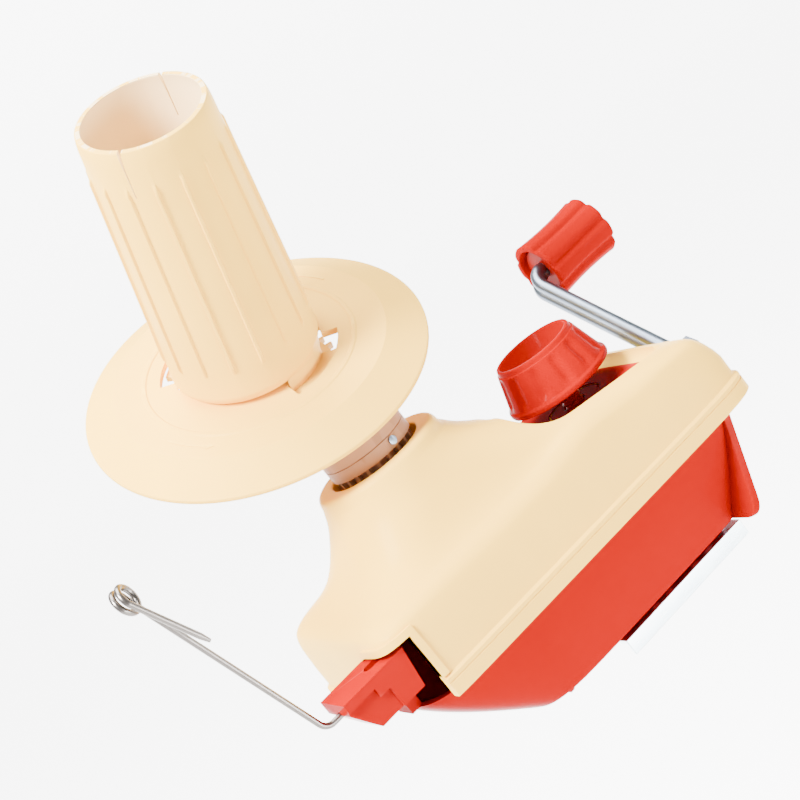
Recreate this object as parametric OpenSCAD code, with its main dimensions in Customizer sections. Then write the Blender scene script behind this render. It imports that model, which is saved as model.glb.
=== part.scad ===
// Hand-cranked yarn ball winder that clamps to the edge of a table.
// Origin: where the upright spindle line meets the clamping face under the base.
// X runs from the yarn guide (-X) to the crank (+X), Z is up, Y is across.

/* [Housing] */
// Distance from the spindle line to the guide end of the cover
cover_left = 52; // [50:1:54]
// Distance from the spindle line to the crank end of the cover
cover_right = 107; // [106:1:109]
// Half of the cover's width
cover_half_w = 40; // [39:1:46]
// Height of the seam between the base and the cover
seam_z = 35.5; // [34:0.5:36]
// Wall of the cover and of the base
wall = 2.2; // [1.6:0.2:2.6]
// How far the rim band stands proud of the cover's sides
band_proud = 1.2; // [0.6:0.2:2]
// Height of the rim band
band_h = 7; // [5:0.5:8]
// Height of the cover's deck beside the neck
deck_z = 67; // [66:0.5:68]
// Fall of the deck towards the crank, in millimetres per millimetre
deck_fall = 0.03; // [0:0.01:0.05]
// Height of the pocket's floor under the clamp knob
pocket_z = 59.5; // [59:0.5:61]
// Corner radius of the pocket under the clamp knob
pocket_r = 12; // [10:0.5:14]
// Height of the neck's mouth
mouth_z = 98.5; // [97:0.5:100]
// Radius of the neck at its shoulder
neck_r = 24; // [22:0.5:26]
// Radius of the neck's mouth
mouth_r = 17; // [16.6:0.2:18]
// Half of the base's width at its foot
foot_half_w = 23; // [22:0.5:28]
// Height of the gripping ribs under the base
grip_h = 1.2; // [0.8:0.2:2]
// Pitch of the gripping ribs
grip_pitch = 7; // [5:0.5:9]

/* [Crank] */
// Height of the crank shaft
crank_z = 46; // [45.5:0.5:46.5]
// Diameter of the crank shaft
shaft_d = 7; // [6:0.5:8]
// Distance from the crank shaft to the grip's post
crank_reach = 73; // [60:1:80]
// Lean of the crank arm away from upright, at rest
crank_rest = 53; // [0:1:90]
// Width of the crank arm
arm_w = 9.5; // [8:0.5:12]
// Thickness of the crank arm
arm_t = 5; // [4.8:0.2:5.6]
// Diameter of the crank's grip
grip_d = 24; // [20:1:28]
// Length of the crank's grip
grip_len = 30; // [24:1:36]
// Diameter of the post that carries the grip
post_d = 6; // [5:0.5:7]

/* [Gears] */
// Teeth of the crown at the foot of the spindle hub
crown_teeth = 21; // [21:1:21]
// Teeth of the drive gear on the crank shaft
drive_teeth = 56; // [56:1:56]
// Radius of the crown's pitch circle
crown_r = 12.5; // [12.4:0.1:12.6]
// Teeth of the fixed sun gear
sun_teeth = 12; // [12:1:12]
// Teeth of the bobbin gear
bobbin_teeth = 36; // [36:1:36]

/* [Head] */
// Tilt of the bobbin away from the spindle
tilt = 30; // [29:0.5:31]
// Height at which the bobbin's axis crosses the spindle line
cross_z = 192; // [190:0.5:194]
// Distance along the bobbin's axis from that crossing down to the flange's rim
rim_drop = 62; // [61.5:0.5:62.5]
// Turn of the head about the spindle, at rest
head_rest = 6; // [0:1:20]
// Radius of the hub's collar
collar_r = 15.6; // [15:0.2:16]
// Diameter of the fixed spindle
spindle_d = 8; // [7:0.5:9]
// Diameter of the tilted stub axle
stub_d = 8; // [7:0.5:9]

/* [Bobbin] */
// Radius of the flange
flange_r = 60; // [54:1:64]
// Radius at which the flange's flat face turns into its skirt
face_r = 47; // [44:1:50]
// Height of the flange's face above its rim
face_h = 8.5; // [8:0.5:9]
// Thickness of the flange
flange_t = 2.4; // [2:0.2:2.6]
// Radius of the bobbin at its foot
bobbin_foot_r = 26; // [25:0.2:26.4]
// Radius of the bobbin at its mouth
bobbin_top_r = 22; // [20:0.5:24]
// Length of the bobbin
bobbin_len = 99; // [90:1:110]
// Wall of the bobbin
bobbin_wall = 1.8; // [1.4:0.2:2.2]
// Number of raised ribs round the bobbin
bobbin_ribs = 16; // [8:2:20]
// Width of a raised rib
rib_w = 1.5; // [1:0.1:2]
// How far a rib stands proud
rib_proud = 0.6; // [0.4:0.1:1]
// Plain band above the ribs
plain_band = 12.5; // [10:0.5:18]
// Width of the slits at the bobbin's mouth
slit_w = 2.4; // [1.6:0.2:3]
// Length of the slits at the bobbin's mouth
slit_len = 16; // [12:1:24]
// Twist of the bobbin from locked to free
twist = 25; // [20:1:30]

/* [Clamp] */
// Place of the clamp screw along the body
screw_x = 75; // [74:0.5:75]
// Place of the clamp screw across the body
screw_y = 12; // [12:0.5:13]
// Diameter of the clamp screw
screw_d = 8; // [7.6:0.2:8.2]
// Height of the clamp knob's underside
knob_z = 68; // [67:0.5:70]
// Diameter of the clamp knob at its foot
knob_d = 41; // [34:1:43]
// Diameter of the clamp knob at its top
knob_top_d = 32; // [30:1:36]
// Height of the clamp knob
knob_h = 17; // [14:1:20]
// Travel of the clamp jaw
jaw_travel = 33; // [20:1:33]
// Thickness of the clamp jaw's plate
jaw_t = 1.6; // [1.2:0.2:2]
// Depth of the clamp jaw's turned edges
jaw_lip = 6; // [4:0.5:8]

/* [Yarn guide] */
// Diameter of the guide wire
wire_d = 2.2; // [1.8:0.1:2.6]
// Height of the guide wire's leg
wire_z = 54; // [53:0.5:55]
// Place of the guide wire's leg across the body
wire_y = -27; // [-28:0.5:-26]
// Length of the guide wire from its bend to its eye
wire_len = 73; // [60:1:80]
// Lean of the guide wire away from upright
wire_lean = 16; // [10:1:25]
// Radius of the eye, at the middle of the wire
eye_r = 4.2; // [4:0.2:6]
// Whole turns of wire in the eye, before its last half turn
eye_turns = 1; // [1:1:3]
// Length of the wire's free tail
tail_len = 27; // [20:1:36]
// Turn of the eye's axis from across the body towards the crank
eye_turn = 128; // [100:1:140]

/* [Fits] */
// Running clearance between a turning piece and what carries it
run = 0.2; // [0.15:0.05:0.3]
// Gap between pieces that pass each other
gap = 0.4; // [0.3:0.1:0.6]

/* [Hidden] */
$fn = 64;
eps = 0.01;

// Housing, worked out
outline_pts = 40;
outline_power = 8;
cover_mid = (cover_right - cover_left) / 2;
cover_half_l = (cover_right + cover_left) / 2;
base_right = cover_right - 13;
foot_left = -11;
foot_right = base_right - 12.5;
foot_power = 5;
floor_z = grip_h + wall;
shoulder_z = mouth_z - 4;
boss_r = 4.5;
boss_hole_r = 1.6;
screw_head_r = 3;
screw_head_h = 2.2;
screw_sink = 3;
screw_bite = 10;
screw_spots = [[26, 17], [26, -17], [52, 18], [52, -18]];
guide_left = -cover_left - 19;
guide_right = -cover_left + 5;
guide_foot_x = -cover_left + 0.4;
guide_near = -36;
guide_far = -18;
guide_low = 44.5;
guide_high = 58.5;
guide_face_h = 4.5;
guide_slant = 6;
guide_undercut = 2;
guide_foot_in = 4;
guide_foot_t = 4.5;
guide_foot_w = 10;
guide_step = 3.2;
guide_step_t = 1.2;
guide_step_x = 11;
guide_step_end = 15;
oval_x = 17;
oval_len = 5;
oval_r = 2.4;
oval_depth = 1.6;
notch_x = -40;
notch_y = -9;
notch_arch = [[0, -15], [-4, -9], [-15, -5.5], [-33, -3]];
notch_end_drop = 1;
base_inset = 1.2;
spindle_socket_h = 16;
spindle_socket_t = 2.4;
pocket_left = 45;
pocket_right = 97;
pocket_near = -26;
end_plate_t = 3;
end_plate_r = 7;

// Crank and its gear, worked out
crown_pitch = 2 * PI * crown_r / crown_teeth;
drive_r = drive_teeth * crown_pitch / (2 * PI);
crown_z = crank_z + drive_r;
tooth_up = 1;
tooth_down = 1.6;
drive_x = 11.2;
drive_t = 3;
drive_hub_r = 8;
drive_hub_t = 3.4;
drive_tooth = 1.05;
drive_root = 1.4;
tooth_tip = 0.8;
pin_r = 1.2;
bearing_x = drive_x + drive_t + drive_hub_t + gap;
bearing_t = 10;
bush_r = shaft_d / 2 + 1.7;
bush_flange_r = 8;
bush_flange_t = 1.6;
arm_x = cover_right + band_proud + bush_flange_t + 2 * gap;
shaft_left = drive_x - 1.5;
shaft_right = arm_x + arm_t;
nut_t = 4;
arm_mid = arm_x + arm_t / 2;
bend_r = 8;
grip_x = arm_mid + bend_r - 2.4;
cap_x = arm_mid + bend_r;
cap_t = 2.4;
grip_wall = 3;
nut_r = 5.8;
post_right = grip_x + grip_len;

// Head, worked out: distances along the bobbin's axis are measured up from the flange's rim
gear_cone = atan(sin(tilt) / (bobbin_teeth / sun_teeth + cos(tilt)));
mesh_more = 12;
gear_sink = 1.2;
mesh_dist = rim_drop + mesh_more;
sun_r = mesh_dist * sin(gear_cone);
bobbin_gear_r = mesh_dist * sin(tilt - gear_cone);
sun_z = cross_z - mesh_dist * cos(gear_cone);
gear_low = rim_drop - mesh_dist * cos(tilt - gear_cone) - gear_sink;
gear_t = 2.4;
sun_t = 4;
sun_phase = 90;
sun_tooth = 1.35;
sun_up = 0.7;
bobbin_phase = 270 + 180 / bobbin_teeth;
bobbin_tooth = 1.3;
bobbin_up = 0.6;
collar_low = 100;
collar_mid = 104.4;
collar_top = 108.6;
spindle_foot_r = 7;
washer_t = 2.5;
hub_core_r = 12.4;
hub_rib_r = 14.7;
hub_rib_w = 1.15;
crown_phase = -head_rest;
core_z = crown_z + tooth_down;
crown_in_r = 10;
boss_top = gear_low - 1;
boss_len = 14;
stub_boss_r = 9;
flange_hub_r = 11;
flange_hub_top = 20;
stub_top = flange_hub_top + 6;
bobbin_low = face_h + run;
lug_r = bobbin_foot_r - bobbin_wall + 0.2;
lug_angle = 46;
lug_out = 6.2;
lug_t = 2;
lug_neck = 0.6;
lug_drop = 2.4;
lug_play = 1.5;
window_more = 16;
bayonet_turn = 102;
slit_turn = -152;
foot_round = 5;
foot_lip = 1.5;
foot_t = 2.2;

// Clamp and guide, worked out
clip_t = 1.2;
clip_r = screw_d / 2 + 2.6;
clamp_bush_r = 8;
clamp_bush_flange_r = 10;
clamp_bush_z = pocket_z - 1.6;
screw_low = 9;
sleeve_r = screw_d / 2 + 1.4;
sleeve_top = jaw_travel + 13;
jaw_left = 20;
jaw_right = foot_right - 1;
jaw_half_w = foot_half_w;
jaw_z = -run;
tongue_x = 74;
tongue_y = -20;
tongue_w = 12;
tongue_top = jaw_travel + 5;
wire_r = wire_d / 2;
wire_out = 3;
wire_bend_r = 4;
eye_pitch = wire_d + 0.6;
wire_in = 18;
tail_turn = 6;
tail_in = 6;

// Signed power, for the rounded-box outline
function spow(v, p) = sign(v) * pow(abs(v), p);
// Point of a rounded-box outline with half sizes a and b
function box_pt(t, mid, a, b, power) =
    [mid + a * spow(cos(t), 2 / power), b * spow(sin(t), 2 / power)];
// Ring that is a share of the way from the cover's outline to the neck's circle, grown by some millimetres
function cover_ring(share, z, grow, r) = [for (i = [0 : outline_pts - 1])
    let (t = 360 * i / outline_pts,
         p = box_pt(t, cover_mid, cover_half_l + grow, cover_half_w + grow, outline_power),
         c = r * [cos(t), sin(t)])
    let (q = (1 - share) * p + share * c, fall = share == 0 || share == 1 ? 0 : deck_fall * (1 - share))
    [each q, z - fall * (q[0] - cover_mid)]];
// Heights of the cover's skin, from the edge of the deck up into the neck
flare = [[0.015, -10.5], [0.04, -6.6], [0.08, -4.4], [0.16, -2.5], [0.28, -0.8], [0.42, 1.2], [0.58, 4.8],
         [0.72, 10], [0.85, 16.5], [0.94, 22]];
// The cover's skin, or its inside when inset is the wall
function cover_rings(inset) = concat(
    inset == 0 ? [cover_ring(0, seam_z, band_proud, neck_r),
                  cover_ring(0, seam_z + band_h, band_proud, neck_r),
                  cover_ring(0, seam_z + band_h + band_proud / 2, 0, neck_r)]
               : [cover_ring(0, seam_z - 1, -inset, neck_r - inset)],
    [for (f = flare) cover_ring(f[0], deck_z + f[1] - inset, -inset, neck_r - inset)],
    [cover_ring(1, shoulder_z - inset, -inset, neck_r - inset)],
    inset == 0 ? [cover_ring(1, mouth_z - 1.4, 0, neck_r - 2),
                  cover_ring(1, mouth_z, 0, mouth_r + 1.5)] : []);
// Ring of the base, a share of the way from its rim to its foot
function base_ring(share, z, inset) = [for (i = [0 : outline_pts - 1])
    let (t = 360 * i / outline_pts,
         top_mid = (base_right - cover_left + base_inset) / 2,
         top_a = (base_right + cover_left - base_inset) / 2 - inset,
         foot_mid = (foot_right + foot_left) / 2,
         foot_a = (foot_right - foot_left) / 2 - inset,
         p = box_pt(t, top_mid, top_a, cover_half_w - base_inset - inset, outline_power),
         q = box_pt(t, foot_mid, foot_a, foot_half_w - inset, foot_power))
    [each (1 - share) * p + share * q, z]];
function base_rings(inset) =
    let (low = inset == 0 ? grip_h : floor_z,
         high = inset == 0 ? seam_z : seam_z + 1)
    [for (k = [0 : 6]) let (s = k / 6) base_ring(pow(s, 1.1), high + (low - high) * s, inset)];
// Faces of a closed skin over stacked rings of n points, the first ring lowest or highest
function skin_faces(rows, n) = concat(
    [[for (i = [0 : n - 1]) n - 1 - i]],
    [for (r = [0 : rows - 2]) for (i = [0 : n - 1]) let (j = (i + 1) % n)
        each [[r * n + i, r * n + j, (r + 1) * n + j], [r * n + i, (r + 1) * n + j, (r + 1) * n + i]]],
    [[for (i = [0 : n - 1]) (rows - 1) * n + i]]);
module skin(rings) {
    up = rings[len(rings) - 1][0][2] > rings[0][0][2];
    faces = skin_faces(len(rings), len(rings[0]));
    polyhedron([for (r = rings) each r],
               up ? [for (f = faces) [for (k = [len(f) - 1 : -1 : 0]) f[k]]] : faces);
}

// Frames: the head turned to its rest place, the bobbin's axis, the crank turned to its rest place
module at_head() { rotate([0, 0, head_rest]) children(); }
module bobbin_local() {
    translate([0, 0, cross_z]) rotate([tilt, 0, 0]) translate([0, 0, -rim_drop]) children();
}
module at_bobbin() { at_head() bobbin_local() children(); }
module at_crank() { translate([0, 0, crank_z]) rotate([-crank_rest, 0, 0]) children(); }
module along_x(x) { translate([x, 0, 0]) rotate([0, 90, 0]) children(); }
module at_clamp() { translate([screw_x, screw_y, 0]) children(); }
module tube(h, r, bore) {
    difference() {
        cylinder(h = h, r = r);
        translate([0, 0, -1]) cylinder(h = h + 2, r = bore);
    }
}
// Straight gear blank with tapered teeth, pitch radius r; thick is a tooth's width at the pitch circle
module gear_plan(teeth, r, up, down, thick, tip) {
    root = r - down;
    circle(r = root);
    for (k = [0 : teeth - 1]) rotate(360 * k / teeth)
        polygon([[root - 0.5, -thick * 0.65], [r, -thick / 2], [r + up, -tip / 2],
                 [r + up, tip / 2], [r, thick / 2], [root - 0.5, thick * 0.65]]);
}

// Red tub under the seam, with its sloped end plate, spindle socket and gripping ribs
module base() {
    slope = atan((base_right - foot_right) / (seam_z - grip_h));
    plate_h = (seam_z - grip_h) / cos(slope) - 0.5;
    plate_half_w = cover_half_w - 2;
    grips = floor((foot_right - foot_left - 24) / grip_pitch);
    color("#FF4423") {
        difference() {
            skin(base_rings(0));
            difference() {
                skin(base_rings(wall));
                cylinder(h = spindle_socket_h, r = spindle_foot_r + spindle_socket_t);
                for (p = screw_spots) translate([p[0], p[1], 0]) cylinder(h = seam_z, r = boss_r);
            }
            translate([0, 0, floor_z]) cylinder(h = 20, r = spindle_foot_r);
            for (p = screw_spots) translate([p[0], p[1], -1]) {
                cylinder(h = seam_z + 3, r = boss_hole_r + run);
                cylinder(h = grip_h + screw_sink + 1, r = screw_head_r + gap);
            }
            at_clamp() translate([0, 0, -1]) cylinder(h = 12, r = sleeve_r + gap);
            translate([tongue_x - gap, tongue_y - gap, -1]) cube([jaw_t + 2 * gap, tongue_w + 2 * gap, 12]);
        }
        difference() {
            translate([base_right - end_plate_t / cos(slope), 0, seam_z])
                rotate([0, 180 + slope, 0]) rotate([0, 0, 180])
                rotate([90, 0, 90]) linear_extrude(end_plate_t) {
                    translate([-plate_half_w, 0]) square([2 * plate_half_w, plate_h - end_plate_r]);
                    translate([-plate_half_w + end_plate_r, 0])
                        square([2 * (plate_half_w - end_plate_r), plate_h]);
                    for (side = [-1, 1])
                        translate([side * (plate_half_w - end_plate_r), plate_h - end_plate_r])
                            circle(r = end_plate_r);
                }
            translate([0, -cover_half_w, seam_z]) cube([2 * cover_right, 2 * cover_half_w, 20]);
            at_clamp() cylinder(h = seam_z, r = sleeve_r + gap);
        }
        for (k = [0 : grips]) {
            x = foot_left + 10 + k * grip_pitch;
            if (abs(x - screw_x) > sleeve_r + 3 && abs(x - tongue_x) > 4
                && min([for (p = screw_spots) abs(x - p[0])]) > 5)
                translate([x, -foot_half_w + 4, 0])
                    rotate([-90, 0, 0]) linear_extrude(2 * foot_half_w - 8)
                        polygon([[-2.2, -grip_h - 0.3], [-0.8, 0], [0.8, 0], [2.2, -grip_h - 0.3]]);
        }
    }
}

// Cream shell: a rim band, a rounded box and the neck that flares up out of its deck
module cover() {
    color("#F8E7C9") difference() {
        skin(cover_rings(0));
        difference() {
            skin(cover_rings(wall));
            for (p = screw_spots) translate([p[0], p[1], seam_z]) cylinder(h = 60, r = boss_r);
            at_clamp() translate([0, 0, clamp_bush_z - 4.5]) cylinder(h = 20, r = clamp_bush_flange_r);
            pocket(wall);
        }
        pocket(0);
        guide_notch();
        translate([0, 0, shoulder_z - 2 * wall]) cylinder(h = 20, r = mouth_r);
        for (p = screw_spots) translate([p[0], p[1], seam_z - 1]) cylinder(h = 16, r = boss_hole_r);
        at_clamp() {
            cylinder(h = 2 * deck_z, r = clamp_bush_r);
            translate([0, 0, clamp_bush_z]) cylinder(h = deck_z, r = clamp_bush_flange_r + run);
        }
        translate([0, 0, crank_z]) along_x(base_right) cylinder(h = 20, r = bush_r);
    }
}
// Pocket in the deck round the clamp knob, open to the far side; grown by the wall it is the pocket's skin
module pocket(grow) {
    r = pocket_r + grow;
    left = pocket_left - grow;
    right = pocket_right + grow;
    translate([0, 0, pocket_z - grow]) linear_extrude(deck_z) {
        translate([left, pocket_near + pocket_r]) square([right - left, 2 * cover_half_w]);
        translate([left + r, pocket_near - grow]) square([right - left - 2 * r, r + 1]);
        for (x = [left + r, right - r]) translate([x, pocket_near + pocket_r]) circle(r = r);
    }
}
// Opening at the near corner of the guide end, under a lip that rises towards the corner
module guide_notch() {
    translate([2 * notch_x, 0, 0]) rotate([90, 0, 90]) linear_extrude(-notch_x)
        polygon(concat([[notch_y, seam_z - 1]], [for (a = notch_arch) [notch_y + a[0], deck_z + a[1]]],
                       [[-2 * cover_half_w, deck_z - notch_end_drop], [-2 * cover_half_w, seam_z - 1]]));
}

// Self-tapping screws that hold the base and the cover together
module housing_screws() {
    color("#B9BCC2") for (p = screw_spots) translate([p[0], p[1], 0]) {
        translate([0, 0, grip_h + screw_sink - screw_head_h]) {
            cylinder(h = screw_head_h, r = screw_head_r);
            cylinder(h = seam_z + screw_bite - grip_h, r = boss_hole_r);
        }
    }
}

// Red block in the guide end, stepped, with an oval recess; it carries the guide wire
module guide_block() {
    color("#FF4423") difference() {
        union() {
            translate([0, guide_far, 0]) rotate([90, 0, 0]) linear_extrude(guide_far - guide_near)
                polygon([[guide_left, guide_high], [guide_left, guide_high - guide_face_h],
                         [guide_left + guide_slant, guide_low], [guide_right, guide_low],
                         [guide_right + guide_undercut, guide_high]]);
            translate([guide_foot_x, guide_far - guide_foot_in, seam_z])
                cube([guide_foot_t, guide_foot_w, guide_high - seam_z - guide_foot_in]);
        }
        translate([0, guide_near - eps, 0]) rotate([90, 0, 0]) mirror([0, 0, 1])
            linear_extrude(guide_step_t) guide_step_plan();
        translate([guide_left - 1, wire_y, wire_z]) rotate([0, 90, 0])
            cylinder(h = wire_in + 1, r = wire_r + run);
        translate([guide_left + oval_x, wire_y, guide_high - oval_depth]) {
            for (x = [0, oval_len]) translate([x, 0, 0]) cylinder(h = 2 * oval_depth, r = oval_r);
            translate([0, -oval_r, 0]) cube([oval_len, 2 * oval_r, 2 * oval_depth]);
        }
    }
}
// Stepped recess in the block's near face
module guide_step_plan() {
    first = guide_high - guide_step;
    second = guide_high - 2 * guide_step;
    polygon([[guide_left - 1, first], [guide_left + guide_step_x, first], [guide_left + guide_step_x, second],
             [guide_left + guide_step_end, second], [guide_left + guide_step_end, guide_low - 1],
             [guide_left - 1, guide_low - 1]]);
}

// Steel wire: a leg in the block, a bend, a long arm, a wound eye and a free tail
function wire_path() =
    let (start = [guide_left - wire_out, wire_y, wire_z],
         turn = 90 - wire_lean,
         bend = [for (a = [0 : turn / 6 : turn + eps])
                 start + wire_bend_r * [-sin(a), 0, 1 - cos(a)]],
         last = bend[len(bend) - 1],
         dir = [-cos(turn), 0, sin(turn)],
         axis0 = [sin(eye_turn), cos(eye_turn), 0],
         axis1 = axis0 - (axis0 * dir) * dir,
         axis = axis1 / norm(axis1),
         side = cross(axis, dir),
         top = last + wire_len * dir,
         hub = top + eye_r * side,
         arm = [for (k = [1 : 5]) last + (wire_len * k / 5) * dir],
         steps = 16,
         coil = [for (k = [1 : steps * eye_turns]) let (a = 360 * k / steps)
                 hub + eye_r * (-cos(a) * side + sin(a) * dir) + (eye_pitch * k / steps) * axis],
         off = coil[len(coil) - 1],
         away0 = -dir + tan(tail_turn) * axis - tan(tail_in) * side,
         away = away0 / norm(away0),
         over = [for (k = [1 : steps / 2]) let (a = 360 * k / steps)
                 off + eye_r * ((1 - cos(a)) * side + sin(a) * dir) + (eye_pitch * k / steps) * axis],
         from = over[len(over) - 1],
         tail = [for (k = [1 : 4]) from + (tail_len * k / 4) * away])
    concat(bend, arm, coil, over, tail);
// Least distance between stretches of the wire that lie over one turn-third apart, less the wire
function wire_gap(path) = min([for (i = [12 : len(path) - 8]) for (j = [i + 6 : len(path) - 1])
    norm(path[i] - path[j])]) - wire_d;
module sweep(path, r, sides) {
    n = len(path);
    rings = [for (i = [0 : n - 1])
        let (d = path[min(i + 1, n - 1)] - path[max(i - 1, 0)], z = d / norm(d),
             x0 = cross([0, 1, 0], z), x = x0 / norm(x0), y = cross(z, x))
        [for (k = [0 : sides - 1]) path[i] + r * (cos(360 * k / sides) * x + sin(360 * k / sides) * y)]];
    faces = skin_faces(n, sides);
    polyhedron([for (r = rings) each r], [for (f = faces) [for (k = [len(f) - 1 : -1 : 0]) f[k]]]);
}
module guide_wire() {
    path = wire_path();
    echo(least_wire_gap = wire_gap(path));
    color("#9AA0A6") {
        translate([guide_left - wire_out - eps, wire_y, wire_z]) rotate([0, 90, 0])
            cylinder(h = wire_in + wire_out - 1, r = wire_r);
        sweep(path, wire_r, 8);
    }
}

// Fixed steel spindle that stands in the base and carries the hub
module spindle() {
    color("#AEB2B8") {
        translate([0, 0, floor_z]) cylinder(h = core_z - washer_t - floor_z, r = spindle_foot_r);
        translate([0, 0, floor_z]) cylinder(h = sun_z + sun_t / 2 + 2 - floor_z, r = spindle_d / 2);
    }
}
module sun_gear() {
    color("#EDE6D6") at_head() translate([0, 0, sun_z - sun_t / 2]) difference() {
        linear_extrude(sun_t) rotate(sun_phase)
            gear_plan(sun_teeth, sun_r, sun_up, tooth_down, sun_tooth, tooth_tip);
        translate([0, 0, -1]) cylinder(h = sun_t + 2, r = spindle_d / 2);
    }
}
module thrust_washer() {
    color("#C9A24A") translate([0, 0, core_z - washer_t]) tube(washer_t - eps, 8.5, spindle_d / 2);
}

// Upright bearing on the base's floor for the inner end of the crank shaft
module bearing_block() {
    half_w = 9;
    color("#3A3A3C") difference() {
        translate([bearing_x, -half_w, floor_z]) cube([bearing_t, 2 * half_w, crank_z + 7 - floor_z]);
        translate([0, 0, crank_z]) along_x(bearing_x - 1) cylinder(h = bearing_t + 2, r = shaft_d / 2 + run);
    }
}
module crank_bush() {
    color("#D8D2C4") translate([0, 0, crank_z]) {
        along_x(cover_right - 8) tube(8 + band_proud + bush_flange_t, bush_r, shaft_d / 2 + run);
        along_x(cover_right + band_proud) tube(bush_flange_t, bush_flange_r, shaft_d / 2 + run);
    }
}
module crank_shaft() {
    color("#AEB2B8") translate([0, 0, crank_z]) difference() {
        along_x(shaft_left) cylinder(h = shaft_right + nut_t - shaft_left, r = shaft_d / 2);
        drive_pin_hole();
    }
}
// Toothed disc on the crank shaft; its top teeth turn the crown of the hub
module drive_gear() {
    color("#EFEAE0") translate([0, 0, crank_z]) difference() {
        union() {
            along_x(drive_x) linear_extrude(drive_t)
                gear_plan(drive_teeth, drive_r, tooth_up, drive_root, drive_tooth, tooth_tip);
            along_x(drive_x + drive_t) cylinder(h = drive_hub_t, r = drive_hub_r);
        }
        along_x(drive_x - 1) cylinder(h = drive_t + drive_hub_t + 2, r = shaft_d / 2);
        for (k = [0 : 4]) rotate([72 * k, 0, 0]) translate([0, 0, drive_r * 0.58]) along_x(drive_x - 1)
            cylinder(h = drive_t + 2, r = 7);
        drive_pin_hole();
    }
}
module drive_pin_hole() {
    translate([drive_x + drive_t + drive_hub_t / 2, -20, 0]) rotate([-90, 0, 0]) cylinder(h = 40, r = pin_r);
}
module drive_pin() {
    color("#8F949A") translate([drive_x + drive_t + drive_hub_t / 2, -drive_hub_r, crank_z])
        rotate([-90, 0, 0]) cylinder(h = 2 * drive_hub_r, r = pin_r);
}

// Bent steel arm of two rounded lobes with a groove between them, from the shaft to the grip's post
module crank_arm() {
    color("#AEB6BF") at_crank() {
        difference() {
            union() {
                along_x(arm_x) cylinder(h = arm_t, r = arm_w / 2 + 1);
                translate([arm_mid, 0, 0]) linear_extrude(crank_reach - bend_r) lobes();
            }
            along_x(arm_x - 1) cylinder(h = arm_t + 2, r = shaft_d / 2);
        }
        translate([arm_mid + bend_r, 0, crank_reach - bend_r]) rotate([90, 0, 0]) rotate([0, 0, 90])
            rotate_extrude(angle = 90) translate([bend_r, 0]) lobes();
    }
}
// Section of the arm
module lobes() {
    for (side = [-1, 1]) translate([0, side * (arm_w - arm_t) / 2]) circle(r = arm_t / 2);
}
module arm_nut() {
    color("#C4C8CE") translate([0, 0, crank_z]) difference() {
        along_x(shaft_right + eps) cylinder(h = nut_t, r = nut_r, $fn = 6);
        along_x(shaft_right - 1) cylinder(h = nut_t + 2, r = shaft_d / 2);
    }
}
module grip_post() {
    color("#AEB6BF") at_crank() translate([0, 0, crank_reach])
        along_x(cap_x) cylinder(h = post_right - cap_x - 3, r = post_d / 2);
}
// Fluted red grip that turns on its post
module crank_grip() {
    flutes = 8;
    flute_r = 2.4;
    flute_out = 1.2;
    color("#FF4423") at_crank() translate([0, 0, crank_reach]) difference() {
        along_x(grip_x) cylinder(h = grip_len, r = grip_d / 2);
        along_x(grip_x - 1) cylinder(h = grip_len - 1.4, r = post_d / 2 + run);
        along_x(grip_x - 1) cylinder(h = 1 + cap_x + cap_t + run - grip_x, r = grip_d / 2 - grip_wall);
        for (k = [0 : flutes - 1]) rotate([360 * (k + 0.5) / flutes, 0, 0])
            translate([0, 0, grip_d / 2 + flute_out]) along_x(grip_x - 1)
                cylinder(h = grip_len + 2, r = flute_r);
    }
}
module grip_cap() {
    color("#8F949A") at_crank() translate([0, 0, crank_reach]) along_x(cap_x)
        tube(cap_t, grip_d / 2 - grip_wall - gap, post_d / 2);
}

// Tan hub: ribbed crown below, two-step collar, and the arm that holds the tilted stub axle
module hub() {
    color("#CDB096") at_head() {
        difference() {
            union() {
                translate([0, 0, core_z]) cylinder(h = collar_low - core_z, r = hub_core_r);
                translate([0, 0, collar_low]) cylinder(h = collar_mid - collar_low - 0.3, r = collar_r);
                translate([0, 0, collar_mid - 0.3]) cylinder(h = 0.3, r = collar_r - 0.4);
                translate([0, 0, collar_mid]) cylinder(h = collar_top - collar_mid, r = collar_r);
                for (k = [0 : crown_teeth - 1]) rotate(360 * (k + 0.5) / crown_teeth + crown_phase)
                    translate([crown_in_r, -hub_rib_w / 2, crown_z - tooth_up])
                        cube([hub_rib_r - crown_in_r, hub_rib_w, collar_low - crown_z + tooth_up]);
                hull() {
                    translate([-8, 5, collar_mid + 0.4]) cube([16, 8, collar_top - collar_mid - 0.8]);
                    bobbin_local() translate([0, 0, boss_top - boss_len + 1])
                        cylinder(h = 6, r = stub_boss_r - 0.6, $fn = 32);
                }
                bobbin_local() translate([0, 0, boss_top - boss_len]) cylinder(h = boss_len, r = stub_boss_r);
            }
            translate([0, 0, core_z - 10]) cylinder(h = 60, r = spindle_d / 2 + run);
            bobbin_local() translate([0, 0, boss_top - boss_len + 2])
                cylinder(h = boss_len + 20, r = stub_d / 2);
            hub_pin_hole();
        }
    }
}
module hub_pin_hole() {
    translate([0, 0, (collar_low + collar_mid) / 2]) rotate([0, 0, -86]) along_x(spindle_d / 2 + 2)
        cylinder(h = 30, r = 1.5);
}
module hub_pin() {
    color("#C9CDD2") at_head() translate([0, 0, (collar_low + collar_mid) / 2]) rotate([0, 0, -86])
        along_x(spindle_d / 2 + 2) cylinder(h = collar_r + 0.5 - spindle_d / 2 - 2, r = 1.5);
}
module stub_axle() {
    color("#AEB2B8") at_bobbin() translate([0, 0, boss_top - boss_len + 2])
        cylinder(h = stub_top - boss_top + boss_len - 2, r = stub_d / 2);
}
module stub_washer() {
    color("#C9A24A") at_bobbin() translate([0, 0, boss_top]) tube(gear_low - boss_top, 7.5, stub_d / 2);
}
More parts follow.
